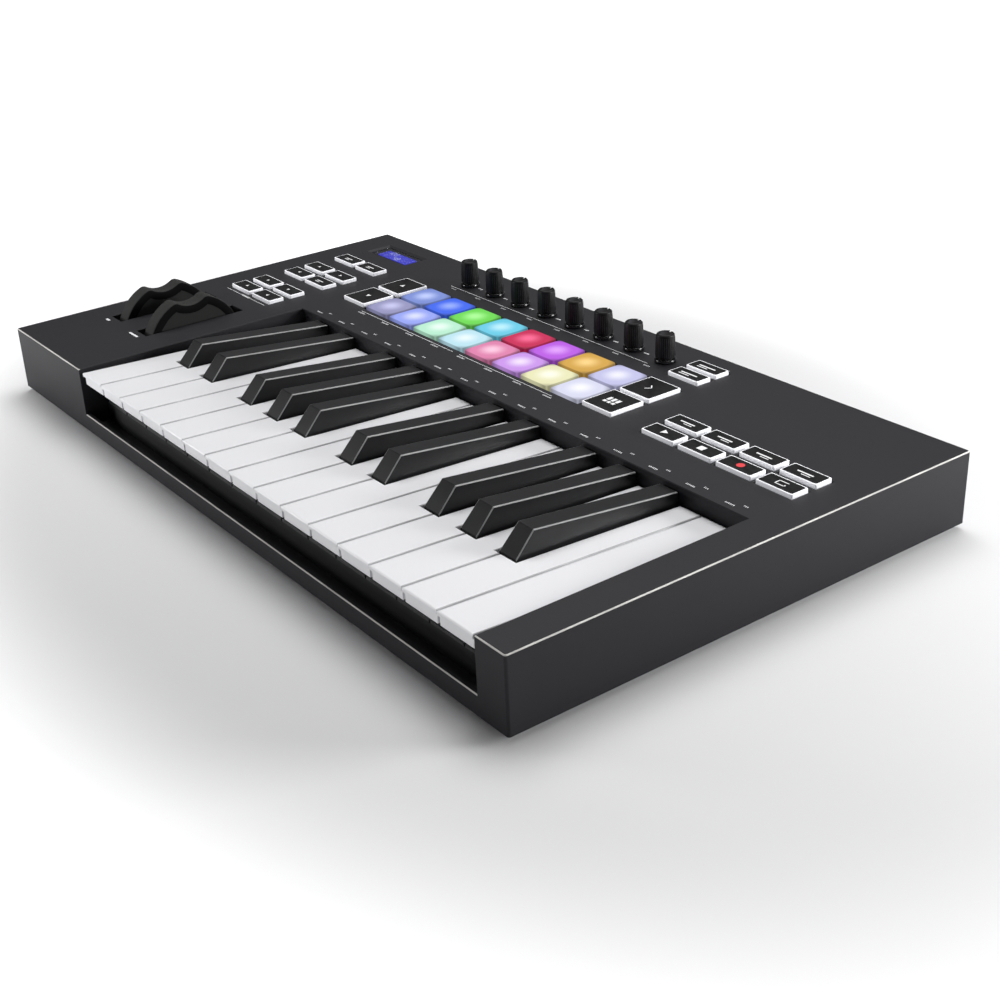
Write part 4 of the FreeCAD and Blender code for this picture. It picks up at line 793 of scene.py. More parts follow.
def charcoal_shell():
    case = bpy.context.scene.keyboard_case
    relief = 0.035 * MM
    material = moulded("charcoal_shell", tuple(case.shell), case.roughness, case.grain, relief, 0.10, 0.06,
                       Specular_IOR_Level=0.24)
    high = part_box("top_case")[1]
    # painted highlight along the case's outer top edges
    return paint_edge_tone(material, tuple(case.edge), high.x - OUTER_BAND, high.y - OUTER_BAND)


def black_moulding():
    return moulded("black_moulding", (0.011, 0.011, 0.012), 0.6, 0.5 * MM, 0.03 * MM)


def white_key_plastic():
    keys = bpy.context.scene.keyboard_keys
    white, rough = tuple(keys.white), keys.white_roughness
    material = moulded("white_key_plastic", white, rough, 0.4 * MM, 0.002 * MM, 0.02, 0.04, 0.04,
                       Coat_Weight=0.25, Coat_Roughness=0.12)
    # painted shade on the long edges along the gaps between white keys
    paint_edge_tone(material, tuple(keys.painted_gap_shade), side_tilt=LONG_EDGE_TILT)
    return handled(material, rough, 0.10)


def black_key_plastic():
    keys = bpy.context.scene.keyboard_keys
    black, rough = tuple(keys.black), keys.black_roughness
    material = moulded("black_key_plastic", black, rough, 0.35 * MM, 0.006 * MM, 0.1, 0.06,
                       Specular_IOR_Level=0.26)
    # painted highlight on the black keys' long edges
    paint_edge_tone(material, tuple(keys.black_key_highlight), side_tilt=LONG_EDGE_TILT)
    return handled(material, rough, 0.12)


def web_rubber(name):
    return moulded(name, (0.008, 0.008, 0.009), 0.8, 0.5 * MM, 0.02 * MM)


def plated_steel(name, colour, roughness):
    """Drawn or rolled metal with streaks along X."""
    material, tree, shader = new_material(name)
    place = tree.nodes.new("ShaderNodeTexCoord").outputs["Object"]
    stretch = tree.nodes.new("ShaderNodeMapping")
    stretch.inputs["Scale"].default_value = STREAK_SCALE
    tree.links.new(place, stretch.inputs["Vector"])
    streaks = noise_node(tree, stretch.outputs["Vector"], 1.0, 3.0)
    rough = math_node(tree, "ADD", math_node(tree, "MULTIPLY", streaks, 0.2), roughness - 0.1)
    dark = tuple(0.8 * part for part in colour)
    tree.links.new(mix_colour(tree, streaks, (*dark, 1.0), (*colour, 1.0)), shader.inputs["Base Color"])
    tree.links.new(rough, shader.inputs["Roughness"])
    shader.inputs["Metallic"].default_value = 1.0
    add_bump(tree, shader, streaks, 0.01 * MM)
    return material


def circuit_board_mask():
    """Green solder mask over a net of copper tracks."""
    material, tree, shader = new_material("solder_mask")
    place = tree.nodes.new("ShaderNodeTexCoord").outputs["Object"]
    cells = tree.nodes.new("ShaderNodeTexVoronoi")
    cells.distance = "MANHATTAN"
    cells.inputs["Scale"].default_value = TRACK_SCALE
    tree.links.new(place, cells.inputs["Vector"])
    tracks = tree.nodes.new("ShaderNodeMapRange")
    tracks.inputs["From Min"].default_value, tracks.inputs["From Max"].default_value = TRACK_EDGES
    tree.links.new(cells.outputs["Distance"], tracks.inputs["Value"])
    bare, covered = (0.004, 0.030, 0.012, 1.0), (0.012, 0.085, 0.030, 1.0)
    colour = mix_colour(tree, tracks.outputs["Result"], bare, covered)
    tree.links.new(colour, shader.inputs["Base Color"])
    shader.inputs["Roughness"].default_value = 0.3
    add_bump(tree, shader, tracks.outputs["Result"], 0.03 * MM)
    return material


def pressed_felt():
    grey = (0.012, 0.012, 0.013)
    return moulded("pressed_felt", grey, 0.95, 0.25 * MM, 0.15 * MM, 0.4, 0.05, Sheen_Weight=0.4)


def smoked_lens():
    """Smoked window over the display."""
    material, tree, shader = new_material("display_lens")
    marks = add_group(tree, finger_marks_group(), {"Roughness": 0.06, "Amount": 0.05})
    tree.links.new(marks.outputs["Roughness"], shader.inputs["Roughness"])
    place = tree.nodes.new("ShaderNodeTexCoord").outputs["Object"]
    tint = noise_node(tree, place, 30.0, 1.0)
    smoke = mix_colour(tree, tint, (0.78, 0.80, 0.95, 1.0), (0.85, 0.86, 0.98, 1.0))
    tree.links.new(smoke, shader.inputs["Base Color"])
    shader.inputs["Transmission Weight"].default_value = 1.0
    shader.inputs["IOR"].default_value = 1.2
    return material


def pad_light_group():
    """Light of a pad: its heart's colour in the middle, its rim's outside, dim at the corners and edge."""
    white = (1.0, 1.0, 1.0, 1.0)
    inputs = [("Rim", "NodeSocketColor", white), ("Heart", "NodeSocketColor", white),
              ("Place", "NodeSocketVector", (0.0, 0.0, 0.0)), ("Edge Dim", "NodeSocketFloat", 0.3)]
    group, source, output = new_group("Pad Light", inputs, [("Colour", "NodeSocketColor")])
    distance = group.nodes.new("ShaderNodeVectorMath")
    distance.operation = "LENGTH"
    group.links.new(source.outputs["Place"], distance.inputs[0])
    middle_share = fall(group, distance.outputs["Value"], 0.0, 0.85, 1.0, 0.0)
    lit = mix_colour(group, middle_share, source.outputs["Rim"], source.outputs["Heart"])
    corner = fall(group, distance.outputs["Value"], 0.95, 1.4, 1.0, 0.45)
    split = group.nodes.new("ShaderNodeSeparateXYZ")
    group.links.new(source.outputs["Place"], split.inputs["Vector"])
    across = math_node(group, "ABSOLUTE", split.outputs["X"], 0.0)
    along = math_node(group, "ABSOLUTE", split.outputs["Y"], 0.0)
    edge = fall(group, math_node(group, "MAXIMUM", across, along), 0.93, 0.99, 0.0, 1.0)
    dim = math_node(group, "MULTIPLY", edge, math_node(group, "SUBTRACT", 1.0, source.outputs["Edge Dim"]))
    strength = math_node(group, "MULTIPLY", corner, math_node(group, "SUBTRACT", 1.0, dim))
    scaled = group.nodes.new("ShaderNodeVectorMath")
    scaled.operation = "SCALE"
    group.links.new(lit, scaled.inputs["Vector"])
    group.links.new(strength, scaled.inputs["Scale"])
    group.links.new(scaled.outputs["Vector"], output.inputs["Colour"])
    return group


def fall(tree, value, start, end, first, last):
    """Smooth change from first to last while the value goes from start to end."""
    node = tree.nodes.new("ShaderNodeMapRange")
    node.interpolation_type = "SMOOTHSTEP"
    tree.links.new(value, node.inputs["Value"])
    for label, number in (("From Min", start), ("From Max", end), ("To Min", first), ("To Max", last)):
        node.inputs[label].default_value = number
    return node.outputs["Result"]


def attribute_node(tree, name, output):
    node = tree.nodes.new("ShaderNodeAttribute")
    node.attribute_name = name
    return node.outputs[output]


def pad_silicone():
    """Milky silicone lit from below."""
    material, tree, shader = new_material("lit_pad_silicone")
    light = add_group(tree, pad_light_group(), {"Edge Dim": 0.6})
    tree.links.new(attribute_node(tree, "rim", "Color"), light.inputs["Rim"])
    tree.links.new(attribute_node(tree, "heart", "Color"), light.inputs["Heart"])
    tree.links.new(attribute_node(tree, "pad_place", "Vector"), light.inputs["Place"])
    tree.links.new(light.outputs["Colour"], shader.inputs["Emission Color"])
    texture = add_group(tree, moulded_texture_group(), {
        "Colour": (0.015, 0.015, 0.016, 1.0), "Grain Size": 0.3 * MM, "Drift": 0.05,
        "Roughness": 0.6, "Roughness Spread": 0.05})
    tree.links.new(texture.outputs["Colour"], shader.inputs["Base Color"])
    tree.links.new(texture.outputs["Roughness"], shader.inputs["Roughness"])
    add_bump(tree, shader, texture.outputs["Height"], 0.02 * MM)
    shader.inputs["Specular IOR Level"].default_value = 0.1
    shader.inputs["Emission Strength"].default_value = bpy.context.scene.keyboard_pads.light
    return material


def backlight(name, colour, strength, cell):
    """Lit layer of the display with a fine cell pattern."""
    material, tree, shader = new_material(name)
    place = tree.nodes.new("ShaderNodeTexCoord").outputs["Object"]
    cells = tree.nodes.new("ShaderNodeTexVoronoi")
    cells.inputs["Scale"].default_value = 1.0 / cell
    cells.inputs["Randomness"].default_value = 0.0
    tree.links.new(place, cells.inputs["Vector"])
    drift = noise_node(tree, place, 90.0, 2.0)
    share = math_node(tree, "MULTIPLY", math_node(tree, "ADD", cells.outputs["Distance"], drift), 0.5)
    dim = tuple(0.55 * part for part in colour)
    lit = mix_colour(tree, share, (*colour, 1.0), (*dim, 1.0))
    tree.links.new(lit, shader.inputs["Emission Color"])
    shader.inputs["Base Color"].default_value = (0.02, 0.02, 0.03, 1.0)
    shader.inputs["Roughness"].default_value = 0.4
    shader.inputs["Emission Strength"].default_value = strength
    return material


def ink(name, colour, roughness=0.6):
    """Printed or moulded-in mark."""
    return moulded(name, colour, roughness, 0.4 * MM, 0.004 * MM, 0.08, 0.05)


def slot_materials():
    """A finish for every material slot whose nodes keep their own shape."""
    dark_rubber = moulded("foot_rubber", (0.015, 0.015, 0.015), 0.85, 0.4 * MM, 0.05 * MM)
    clear_rubber = moulded("contact_silicone", (0.35, 0.35, 0.37), 0.5, 0.6 * MM, 0.02 * MM,
                           Subsurface_Weight=0.1)
    return {
        "charcoal_case": charcoal_shell(),
        "black_plastic": black_moulding(),
        "steel": plated_steel("plain_steel", (0.50, 0.50, 0.52), 0.32),
        "socket_metal": plated_steel("bright_socket_shell", (0.66, 0.66, 0.68), 0.24),
        "foot_rubber": dark_rubber,
        "felt": pressed_felt(),
        "contact_silicone": clear_rubber,
        "circuit_board": circuit_board_mask(),
        "white_key": white_key_plastic(),
        "black_key": black_key_plastic(),
        "wheel_plastic": moulded("wheel_core", (0.02, 0.02, 0.021), 0.5, 0.5 * MM, 0.02 * MM),
        "knob_plastic": moulded("shaft_plastic", (0.016, 0.016, 0.017), 0.4, 0.5 * MM, 0.01 * MM),
        "pad_silicone": moulded("pad_web_silicone", (0.01, 0.01, 0.01), 0.8, 0.5 * MM, 0.02 * MM),
        "button_plastic": moulded("button_web", (0.01, 0.01, 0.01), 0.8, 0.5 * MM, 0.02 * MM),
        "display_lens": smoked_lens(),
        "display_backlight": moulded("display_bezel", (0.01, 0.01, 0.012), 0.5, 0.5 * MM, 0.01 * MM),
    }


# ------------------------------------------------------------------ operators
class KEYBOARD_OT_frame_finish(bpy.types.Operator):
    """Give every piece that keeps its own shape its finish"""

    bl_idname = "keyboard.frame_finish"
    bl_label = "Finish Frame Pieces"

    def execute(self, context):
        finishes = slot_materials()
        for entry in frame["record"]["subparts"]:
            mesh = frame["nodes"][entry["node"]].data
            mesh.materials.clear()
            mesh.materials.append(finishes[entry["material_slot"]])
        return {"FINISHED"}


class KEYBOARD_OT_panel_print(bpy.types.Operator):
    """Print the plain lines and ticks on the panel"""

    bl_idname = "keyboard.panel_print"
    bl_label = "Panel Print"

    def execute(self, context):
        colour = ink("panel_ink", tuple(context.scene.keyboard_case.print_ink))
        top = panel_height()
        low, high = top - PRINT_SINK, top + PRINT_RISE
        shape = bmesh.new()
        self.add_lines(shape, low, high)
        lines = mesh_from("panel_lines", shape, smooth=False)
        add_piece("panel_lines", lines, "case", "charcoal_case", colour)
        self.add_tick_rows(colour, top)
        return {"FINISHED"}

    def add_lines(self, shape, low, high):
        """Long hairlines beside the pads and the left buttons, and the wheels' marks."""
        line = 0.3 * MM
        columns = pad_columns()
        pads_low, pads_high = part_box("pad_mat")
        front, back = pads_low.y - 0.6 * MM, pads_high.y + 0.4 * MM
        left, right = columns[0] - 8 * MM, columns[-1] - 4 * MM
        gap = (columns[3] + columns[4]) / 2
        for start, end in ((left, gap - 3 * MM), (gap + 3 * MM, right)):
            add_bar(shape, (start + end) / 2, front, end - start, line, low, high)
        add_bar(shape, (left + right) / 2, back + 9.0 * MM, right - left, line, low, high)
        keypad_low, keypad_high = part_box("left_keypad")
        centre = (keypad_low.x + keypad_high.x) / 2
        add_bar(shape, centre, keypad_low.y - 0.2 * MM, 45 * MM, line, low, high)
        add_bar(shape, centre, keypad_low.y - 0.2 * MM, 9 * MM, 1.3 * MM, low, high)
        pitch, mod = middle("pitch_wheel"), middle("mod_wheel")
        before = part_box("mod_wheel")[0].y - 6.0 * MM
        add_bar(shape, mod.x - 1 * MM, before, 10 * MM, 1.3 * MM, low, high)
        add_bar(shape, pitch.x - 2 * MM, before, 4 * MM, 1.5 * MM, low, high)

    def add_tick_rows(self, colour, top):
        """Rows of small upright bars where a player's legends would be."""
        well_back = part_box("white_key_01")[1].y - 28.5 * MM
        keys = [middle("white_key_%02d" % number).x for number in range(1, 16)]
        pads_low, pads_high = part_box("pad_mat")
        columns = pad_columns()
        knobs = middle("knob_1").y
        rows = [
            ("key_legends", [(x - 3 * MM, well_back + 4.0 * MM) for x in keys], 6, 0.4 * MM),
            ("key_numbers", [(x + 5 * MM, well_back + 7.0 * MM) for x in keys], 3, 0.3 * MM),
            ("pad_legends", [(x - 8 * MM, pads_low.y - 2.6 * MM) for x in columns], 7, 0.4 * MM),
            ("pad_headings", [(x - 4 * MM, pads_high.y + 7.0 * MM) for x in columns], 5, 0.3 * MM),
            ("knob_legends", [(x + 8 * MM, knobs + 0.5 * MM) for x in columns[:-1]], 4, 0.5 * MM),
        ]
        for name, starts, count, length in rows:
            base = places_mesh("tick_start", [(x, y, top) for x, y in starts])
            mesh = grown(tick_row_tree(), base, {
                "Count": count, "Step": 0.95 * MM, "Length": length, "Width": 1.0 * MM,
                "Thickness": 2 * PRINT_RISE, "Finish": colour})
            add_piece(name, mesh, "case", "charcoal_case")


class KEYBOARD_OT_pads(bpy.types.Operator):
    """Build the sixteen lit pads on their mat"""

    bl_idname = "keyboard.pads"
    bl_label = "Pads"

    edge_r = 0.5 * MM
    flat_r = 1.0 * MM           # half the width of the level middle
    crown_steps = 7
    heart_lift = 0.2            # the middle is this much brighter than the rim

    def execute(self, context):
        pads = context.scene.keyboard_pads
        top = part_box("pad_mat")[1].z
        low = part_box("pad_mat")[0].z
        half = pads.size / 2
        levels = [(0.0, low + STAND)] + edge_levels(self.edge_r, top - pads.crown, 4)
        for step in range(1, self.crown_steps):
            share = step / self.crown_steps
            inset = self.edge_r + share * (half - self.edge_r - self.flat_r)
            levels.append((inset, top - pads.crown * (1 - share) ** 2))
        shape = bmesh.new()
        add_loft(shape, slab_rings(half, half, pads.corner, levels))
        template = mesh_from("pad_template", shape)
        place = template.attributes.new("pad_place", "FLOAT_VECTOR", "POINT")
        for vertex in template.vertices:
            place.data[vertex.index].vector = (vertex.co.x / half, vertex.co.y / half, 0.0)
        points = [(x, y, 0.0) for x, y in pad_places()]
        colours = {
            "rim": [entry.linear(entry.depth, entry.brightness) for entry in pads.colours],
            "heart": [entry.linear(entry.heart_depth, min(1.0, entry.brightness + self.heart_lift))
                      for entry in pads.colours],
        }
        mesh = copies_of(template, points, pad_silicone(), colours)
        piece = add_piece("lit_pads", mesh, "pad_mat", "pad_silicone")
        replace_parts(piece, "pad_mat")
        add_mat_web("pad_web", "pad_mat", "pad_silicone", PAD_WEB_CORNER, web_rubber("pad_web_rubber"))
        return {"FINISHED"}


class KEYBOARD_OT_buttons(bpy.types.Operator):
    """Build the push buttons: pale skirts, black caps and their marks"""

    bl_idname = "keyboard.buttons"
    bl_label = "Buttons"

    skirt_edge_r = 0.35 * MM
    skirt_drop = 0.05 * MM      # skirt below the top of the mat
    cap_rise = 0.06 * MM        # cap above its skirt
    cap_edge_r = 0.05 * MM
    cap_root = 0.3 * MM         # cap inside its skirt
    mark_sink = 0.05 * MM
    mark_rise = 0.09 * MM
    small_arrow, bank_arrow, play_arrow = 1.3 * MM, 1.9 * MM, 2.3 * MM
    stop_side = 3.6 * MM
    record_r = 2.0 * MM
    grid_step, grid_bar, grid_tall = 3.0 * MM, 1.9 * MM, 3.4 * MM
    chevron_arm, chevron_line = 3.6 * MM, 0.6 * MM
    loop_w, loop_h, loop_line = 5.4 * MM, 3.2 * MM, 0.5 * MM

    # (length, width) of a long and a short bar, and where the short one lies from the long one
    left_legend = ((6.5 * MM, 0.7 * MM), (4.5 * MM, 0.5 * MM), (-1.0 * MM, -1.5 * MM))
    page_legend = ((11.0 * MM, 0.9 * MM), (7.0 * MM, 0.6 * MM), (-2.0 * MM, -1.8 * MM))
    transport_legend = ((9.0 * MM, 0.9 * MM), (5.0 * MM, 0.5 * MM), (1.5 * MM, -1.7 * MM))

    def execute(self, context):
        buttons = context.scene.keyboard_buttons
        # the skirts glow a little: painted glow, as the rubber button is not lit
        skirt = moulded("button_skirt", tuple(buttons.skirt), 0.42, 0.5 * MM, 0.006 * MM, 0.05, 0.05,
                        Emission_Color=(0.9, 0.92, 1.0, 1.0), Emission_Strength=0.22)
        face = moulded("button_cap", tuple(buttons.cap), 0.42, 0.3 * MM, 0.01 * MM, Specular_IOR_Level=0.1)
        # painted highlight on the caps' convex edges
        cap = paint_edge_highlight(face, (0.06, 0.06, 0.06), 0.3)
        mark = ink("button_mark", tuple(buttons.mark))
        self.add_group("left", "left_keypad", left_places(), SMALL_BUTTON, skirt, cap)
        self.add_group("bank_left", "left_bank_keypad", left_bank_places(), BIG_BUTTON, skirt, cap)
        self.add_group("bank_right", "right_bank_keypad", right_bank_places(), BIG_BUTTON, skirt, cap)
        self.add_group("page", "right_bank_keypad", page_places(), PAGE_BUTTON, skirt, cap)
        self.add_group("transport", "transport_keypad", transport_places(), SMALL_BUTTON, skirt, cap)
        self.add_marks(mark, ink("record_mark", tuple(buttons.record)))
        rubber = web_rubber("button_web_rubber")
        for node in KEYPADS:
            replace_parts(add_mat_web(node + "_web", node, "button_plastic", BUTTON_WEB_CORNER, rubber), node)
        return {"FINISHED"}

    def add_group(self, name, node, places, size, skirt, cap):
        """One skirt and one cap for every button of a mat."""
        buttons = bpy.context.scene.keyboard_buttons
        low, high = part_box(node)
        half_x, half_y = size[0] / 2, size[1] / 2
        points = [(x, y, 0.0) for x, y in places]
        skirt_top = high.z - self.skirt_drop
        shape = bmesh.new()
        levels = [(0.0, low.z + STAND)] + edge_levels(self.skirt_edge_r, skirt_top, 4)
        add_loft(shape, slab_rings(half_x, half_y, buttons.corner, levels))
        mesh = copies_of(mesh_from("skirt_template", shape), points, skirt)
        add_piece(name + "_skirts", mesh, node, "button_plastic")
        shape = bmesh.new()
        border = buttons.border
        levels = [(0.0, skirt_top - self.cap_root)]
        levels += edge_levels(self.cap_edge_r, skirt_top + self.cap_rise, 2)
        add_loft(shape, slab_rings(half_x - border, half_y - border, buttons.corner, levels))
        mesh = copies_of(mesh_from("cap_template", shape), points, cap)
        add_piece(name + "_caps", mesh, node, "button_plastic")

    def add_marks(self, mark, record):
        """Plain shapes on the caps: arrows, bars, a square, a loop and the record dot."""
        marks = {node: bmesh.new() for node in KEYPADS}
        tops = {node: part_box(node)[1].z for node in KEYPADS}
        levels = {node: (top - self.mark_sink, top + self.mark_rise) for node, top in tops.items()}
        self.add_left_marks(marks["left_keypad"], left_places(), levels["left_keypad"])
        for place, turn in zip(left_bank_places(), (1.5, 0.5)):
            self.add_arrow(marks["left_bank_keypad"], place, self.bank_arrow, turn * math.pi,
                           *levels["left_bank_keypad"])
        self.add_right_marks(marks["right_bank_keypad"], levels["right_bank_keypad"])
        places = transport_places()
        self.add_transport_marks(marks["transport_keypad"], places, levels["transport_keypad"])
        for node, shape in marks.items():
            mesh = mesh_from("button_marks", shape, smooth=False)
            add_piece(node + "_marks", mesh, node, "button_plastic", mark)
        shape = bmesh.new()
        x, y = places[2]
        dot = [(x + a, y + b) for a, b in circle_outline(self.record_r, 28)]
        add_prism(shape, dot, *levels["transport_keypad"])
        mesh = mesh_from("record_dot", shape, smooth=False)
        add_piece("record_dot", mesh, "transport_keypad", "button_plastic", record)

    def add_left_marks(self, shape, places, levels):
        for index, turn in ((0, 0.5), (1, 1.0), (2, 0.0), (3, 1.5), (4, 1.0), (6, 0.5), (7, 0.0)):
            self.add_arrow(shape, places[index], self.small_arrow, turn * math.pi, *levels)
        for index in (5, 8, 9):
            self.add_legend(shape, places[index], self.left_legend, levels)

    def add_right_marks(self, shape, levels):
        """A grid of bars on the near button, a chevron on the next and legends on the small ones."""
        grid, chevron = right_bank_places()
        x, y = grid
        for step in (-1, 0, 1):
            across = x + step * self.grid_step
            add_bar(shape, across, y + 1.0 * MM, self.grid_bar, self.grid_tall, *levels)
            add_bar(shape, across, y - 2.4 * MM, self.grid_bar, self.grid_bar, *levels)
        self.add_chevron(shape, chevron, *levels)
        for place in page_places():
            self.add_legend(shape, place, self.page_legend, levels)

    def add_transport_marks(self, shape, places, levels):
        """Play, stop and loop in the near row, legends in the far one."""
        self.add_arrow(shape, places[0], self.play_arrow, 0.0, *levels)
        add_bar(shape, *places[1], self.stop_side, self.stop_side, *levels)
        self.add_loop(shape, places[3], *levels)
        for place in places[4:]:
            self.add_legend(shape, place, self.transport_legend, levels)

    def add_legend(self, shape, place, legend, levels):
        long_bar, short_bar, shift = legend
        add_bar(shape, *place, *long_bar, *levels)
        add_bar(shape, place[0] + shift[0], place[1] + shift[1], *short_bar, *levels)

    def add_arrow(self, shape, place, size, turn, low, high):
        """Three-cornered arrow pointing along turn."""
        corners = [(place[0] + size * math.cos(turn + step), place[1] + size * math.sin(turn + step))
                   for step in (0.0, 2 * math.pi / 3, 4 * math.pi / 3)]
        add_prism(shape, corners, low, high)

    def add_chevron(self, shape, place, low, high):
        x, y = place[0] - 0.1 * MM, place[1]
        for side in (-1, 1):
            add_bar(shape, x, y + side * 1.15 * MM, self.chevron_arm, self.chevron_line, low, high,
                    -side * math.pi / 4)

    def add_loop(self, shape, place, low, high):
        """Frame with a gap in one side."""
        x, y = place
        line, reach = self.loop_line, (self.loop_w - 0.4 * MM) / 2
        for side in (-1, 1):
            add_bar(shape, x, y + side * self.loop_h / 2, self.loop_w, line, low, high)
        add_bar(shape, x - reach, y, line, 3.4 * MM, low, high)
        add_bar(shape, x + reach, y - 1.0 * MM, line, 1.4 * MM, low, high)


class KEYBOARD_OT_knobs(bpy.types.Operator):
    """Turn the knobs: glossy foot, ribbed grip and pointer"""

    bl_idname = "keyboard.knobs"
    bl_label = "Knobs"

    grip_r = 5.15 * MM
    top_r = 4.8 * MM
    rib_start = 3.1 * MM        # ribs above the knob's foot
    rib_end = 1.3 * MM          # ribs below its top
    rib_depth = 0.3 * MM        # ribs inside the grip
    pointer_w = 0.7 * MM
    turned_points = 64

    # (radius, height) in millimetres: the foot round the bore, the grip from the foot and from the top
    foot_profile = ((3.1, 0.0), (5.4, 0.0), (5.6, 0.2), (5.6, 1.2), (5.3, 1.6), (4.95, 1.75), (3.1, 1.8))
    grip_foot = ((4.45, 1.7), (4.45, 2.2), (5.15, 2.5), (5.15, 2.9))
    grip_top = ((4.8, -1.1), (4.7, -0.6), (4.25, -0.12), (3.9, 0.0), (3.5, -0.05), (3.3, -0.25))

    # share of a rib's height and how far it stands out there, in millimetres
    rib_profile = ((0.0, -0.1), (0.04, 0.06), (0.5, 0.09), (0.96, 0.06), (1.0, -0.1))

    def execute(self, context):
        knobs = context.scene.keyboard_knobs
        grip = moulded("knob_grip", tuple(knobs.body), 0.42, 0.35 * MM, 0.01 * MM, Specular_IOR_Level=0.16)
        # painted highlight on the grip's convex edges
        body = paint_edge_highlight(grip, (0.12, 0.12, 0.13), 0.5)
        gloss = moulded("knob_foot_gloss", (0.008, 0.008, 0.009), 0.12, 0.5 * MM, 0.002 * MM, 0.05, 0.02)
        pointer = ink("knob_pointer", tuple(knobs.pointer))
        for node in knob_nodes():
            low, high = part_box(node)
            centre = (low + high) / 2
            self.add_knob(node, centre.x, centre.y, low.z, high.z, body, gloss, pointer)
        return {"FINISHED"}

    def add_knob(self, node, x, y, low, high, body, gloss, pointer):
        shape = bmesh.new()
        self.add_turned_ring(shape, [(r * MM, low + h * MM) for r, h in self.foot_profile], x, y)
        add_piece(node + "_foot", mesh_from(node + "_foot", shape), node, "knob_plastic", gloss)
        grip = [(r * MM, low + h * MM) for r, h in self.grip_foot]
        grip += [(r * MM, high + h * MM) for r, h in self.grip_top]
        shape = bmesh.new()
        add_loft(shape, [[(x + a, y + b, z) for a, b in circle_outline(r, self.turned_points)]
                         for r, z in grip])
        add_piece(node + "_grip", mesh_from(node + "_grip", shape), node, "knob_plastic", body)
        ribs = self.rib_mesh(x, y, low + self.rib_start, high - self.rib_end, body)
        piece = add_piece(node + "_ribs", ribs, node, "knob_plastic")
        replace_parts(piece, node)
        shape = bmesh.new()
        top_bar = (1.9 * MM, high - 0.4 * MM, high + 0.03 * MM)
        front_bar = (0.5 * MM, high - 4.0 * MM, high - 0.35 * MM)
        add_bar(shape, x, y + self.top_r - 1.0 * MM, self.pointer_w, *top_bar)
        add_bar(shape, x, y + self.top_r, self.pointer_w, *front_bar)
        mesh = mesh_from(node + "_pointer", shape, smooth=False)
        add_piece(node + "_pointer", mesh, node, "knob_plastic", pointer)

    def add_turned_ring(self, shape, profile, x, y):
        """Closed ring turned from a profile of (radius, height)."""
        count = self.turned_points
        rows = []
        for radius, height in profile:
            rows.append([shape.verts.new((x + a, y + b, height)) for a, b in circle_outline(radius, count)])
        for row, following in zip(rows, rows[1:] + rows[:1]):
            for index in range(count):
                other = (index + 1) % count
                shape.faces.new((row[index], row[other], following[other], following[index]))

    def rib_mesh(self, x, y, low, high, finish):
        """Thin upright ribs round the grip, following its taper."""
        knobs = bpy.context.scene.keyboard_knobs
        half = knobs.rib_width / 2
        lean = self.grip_r - self.top_r
        shape = bmesh.new()
        rings = []
        for share, proud in self.rib_profile:
            out = proud * MM - lean * share
            root = out - self.rib_depth
            z = low + (high - low) * share
            rings.append([(root, -half, z), (out, -half * 0.6, z), (out + 0.04 * MM, 0.0, z),
                          (out, half * 0.6, z), (root, half, z)])
        add_loft(shape, rings)
        template = bpy.data.objects.new("rib_template", mesh_from("rib_template", shape))
        bpy.context.scene.collection.objects.link(template)
        base = places_mesh("rib_axis", [(x, y, 0.0)])
        mesh = grown(ring_of_copies_tree(), base, {
            "Template": template, "Count": knobs.ribs, "Radius": self.grip_r, "Finish": finish})
        bpy.data.objects.remove(template)
        return mesh


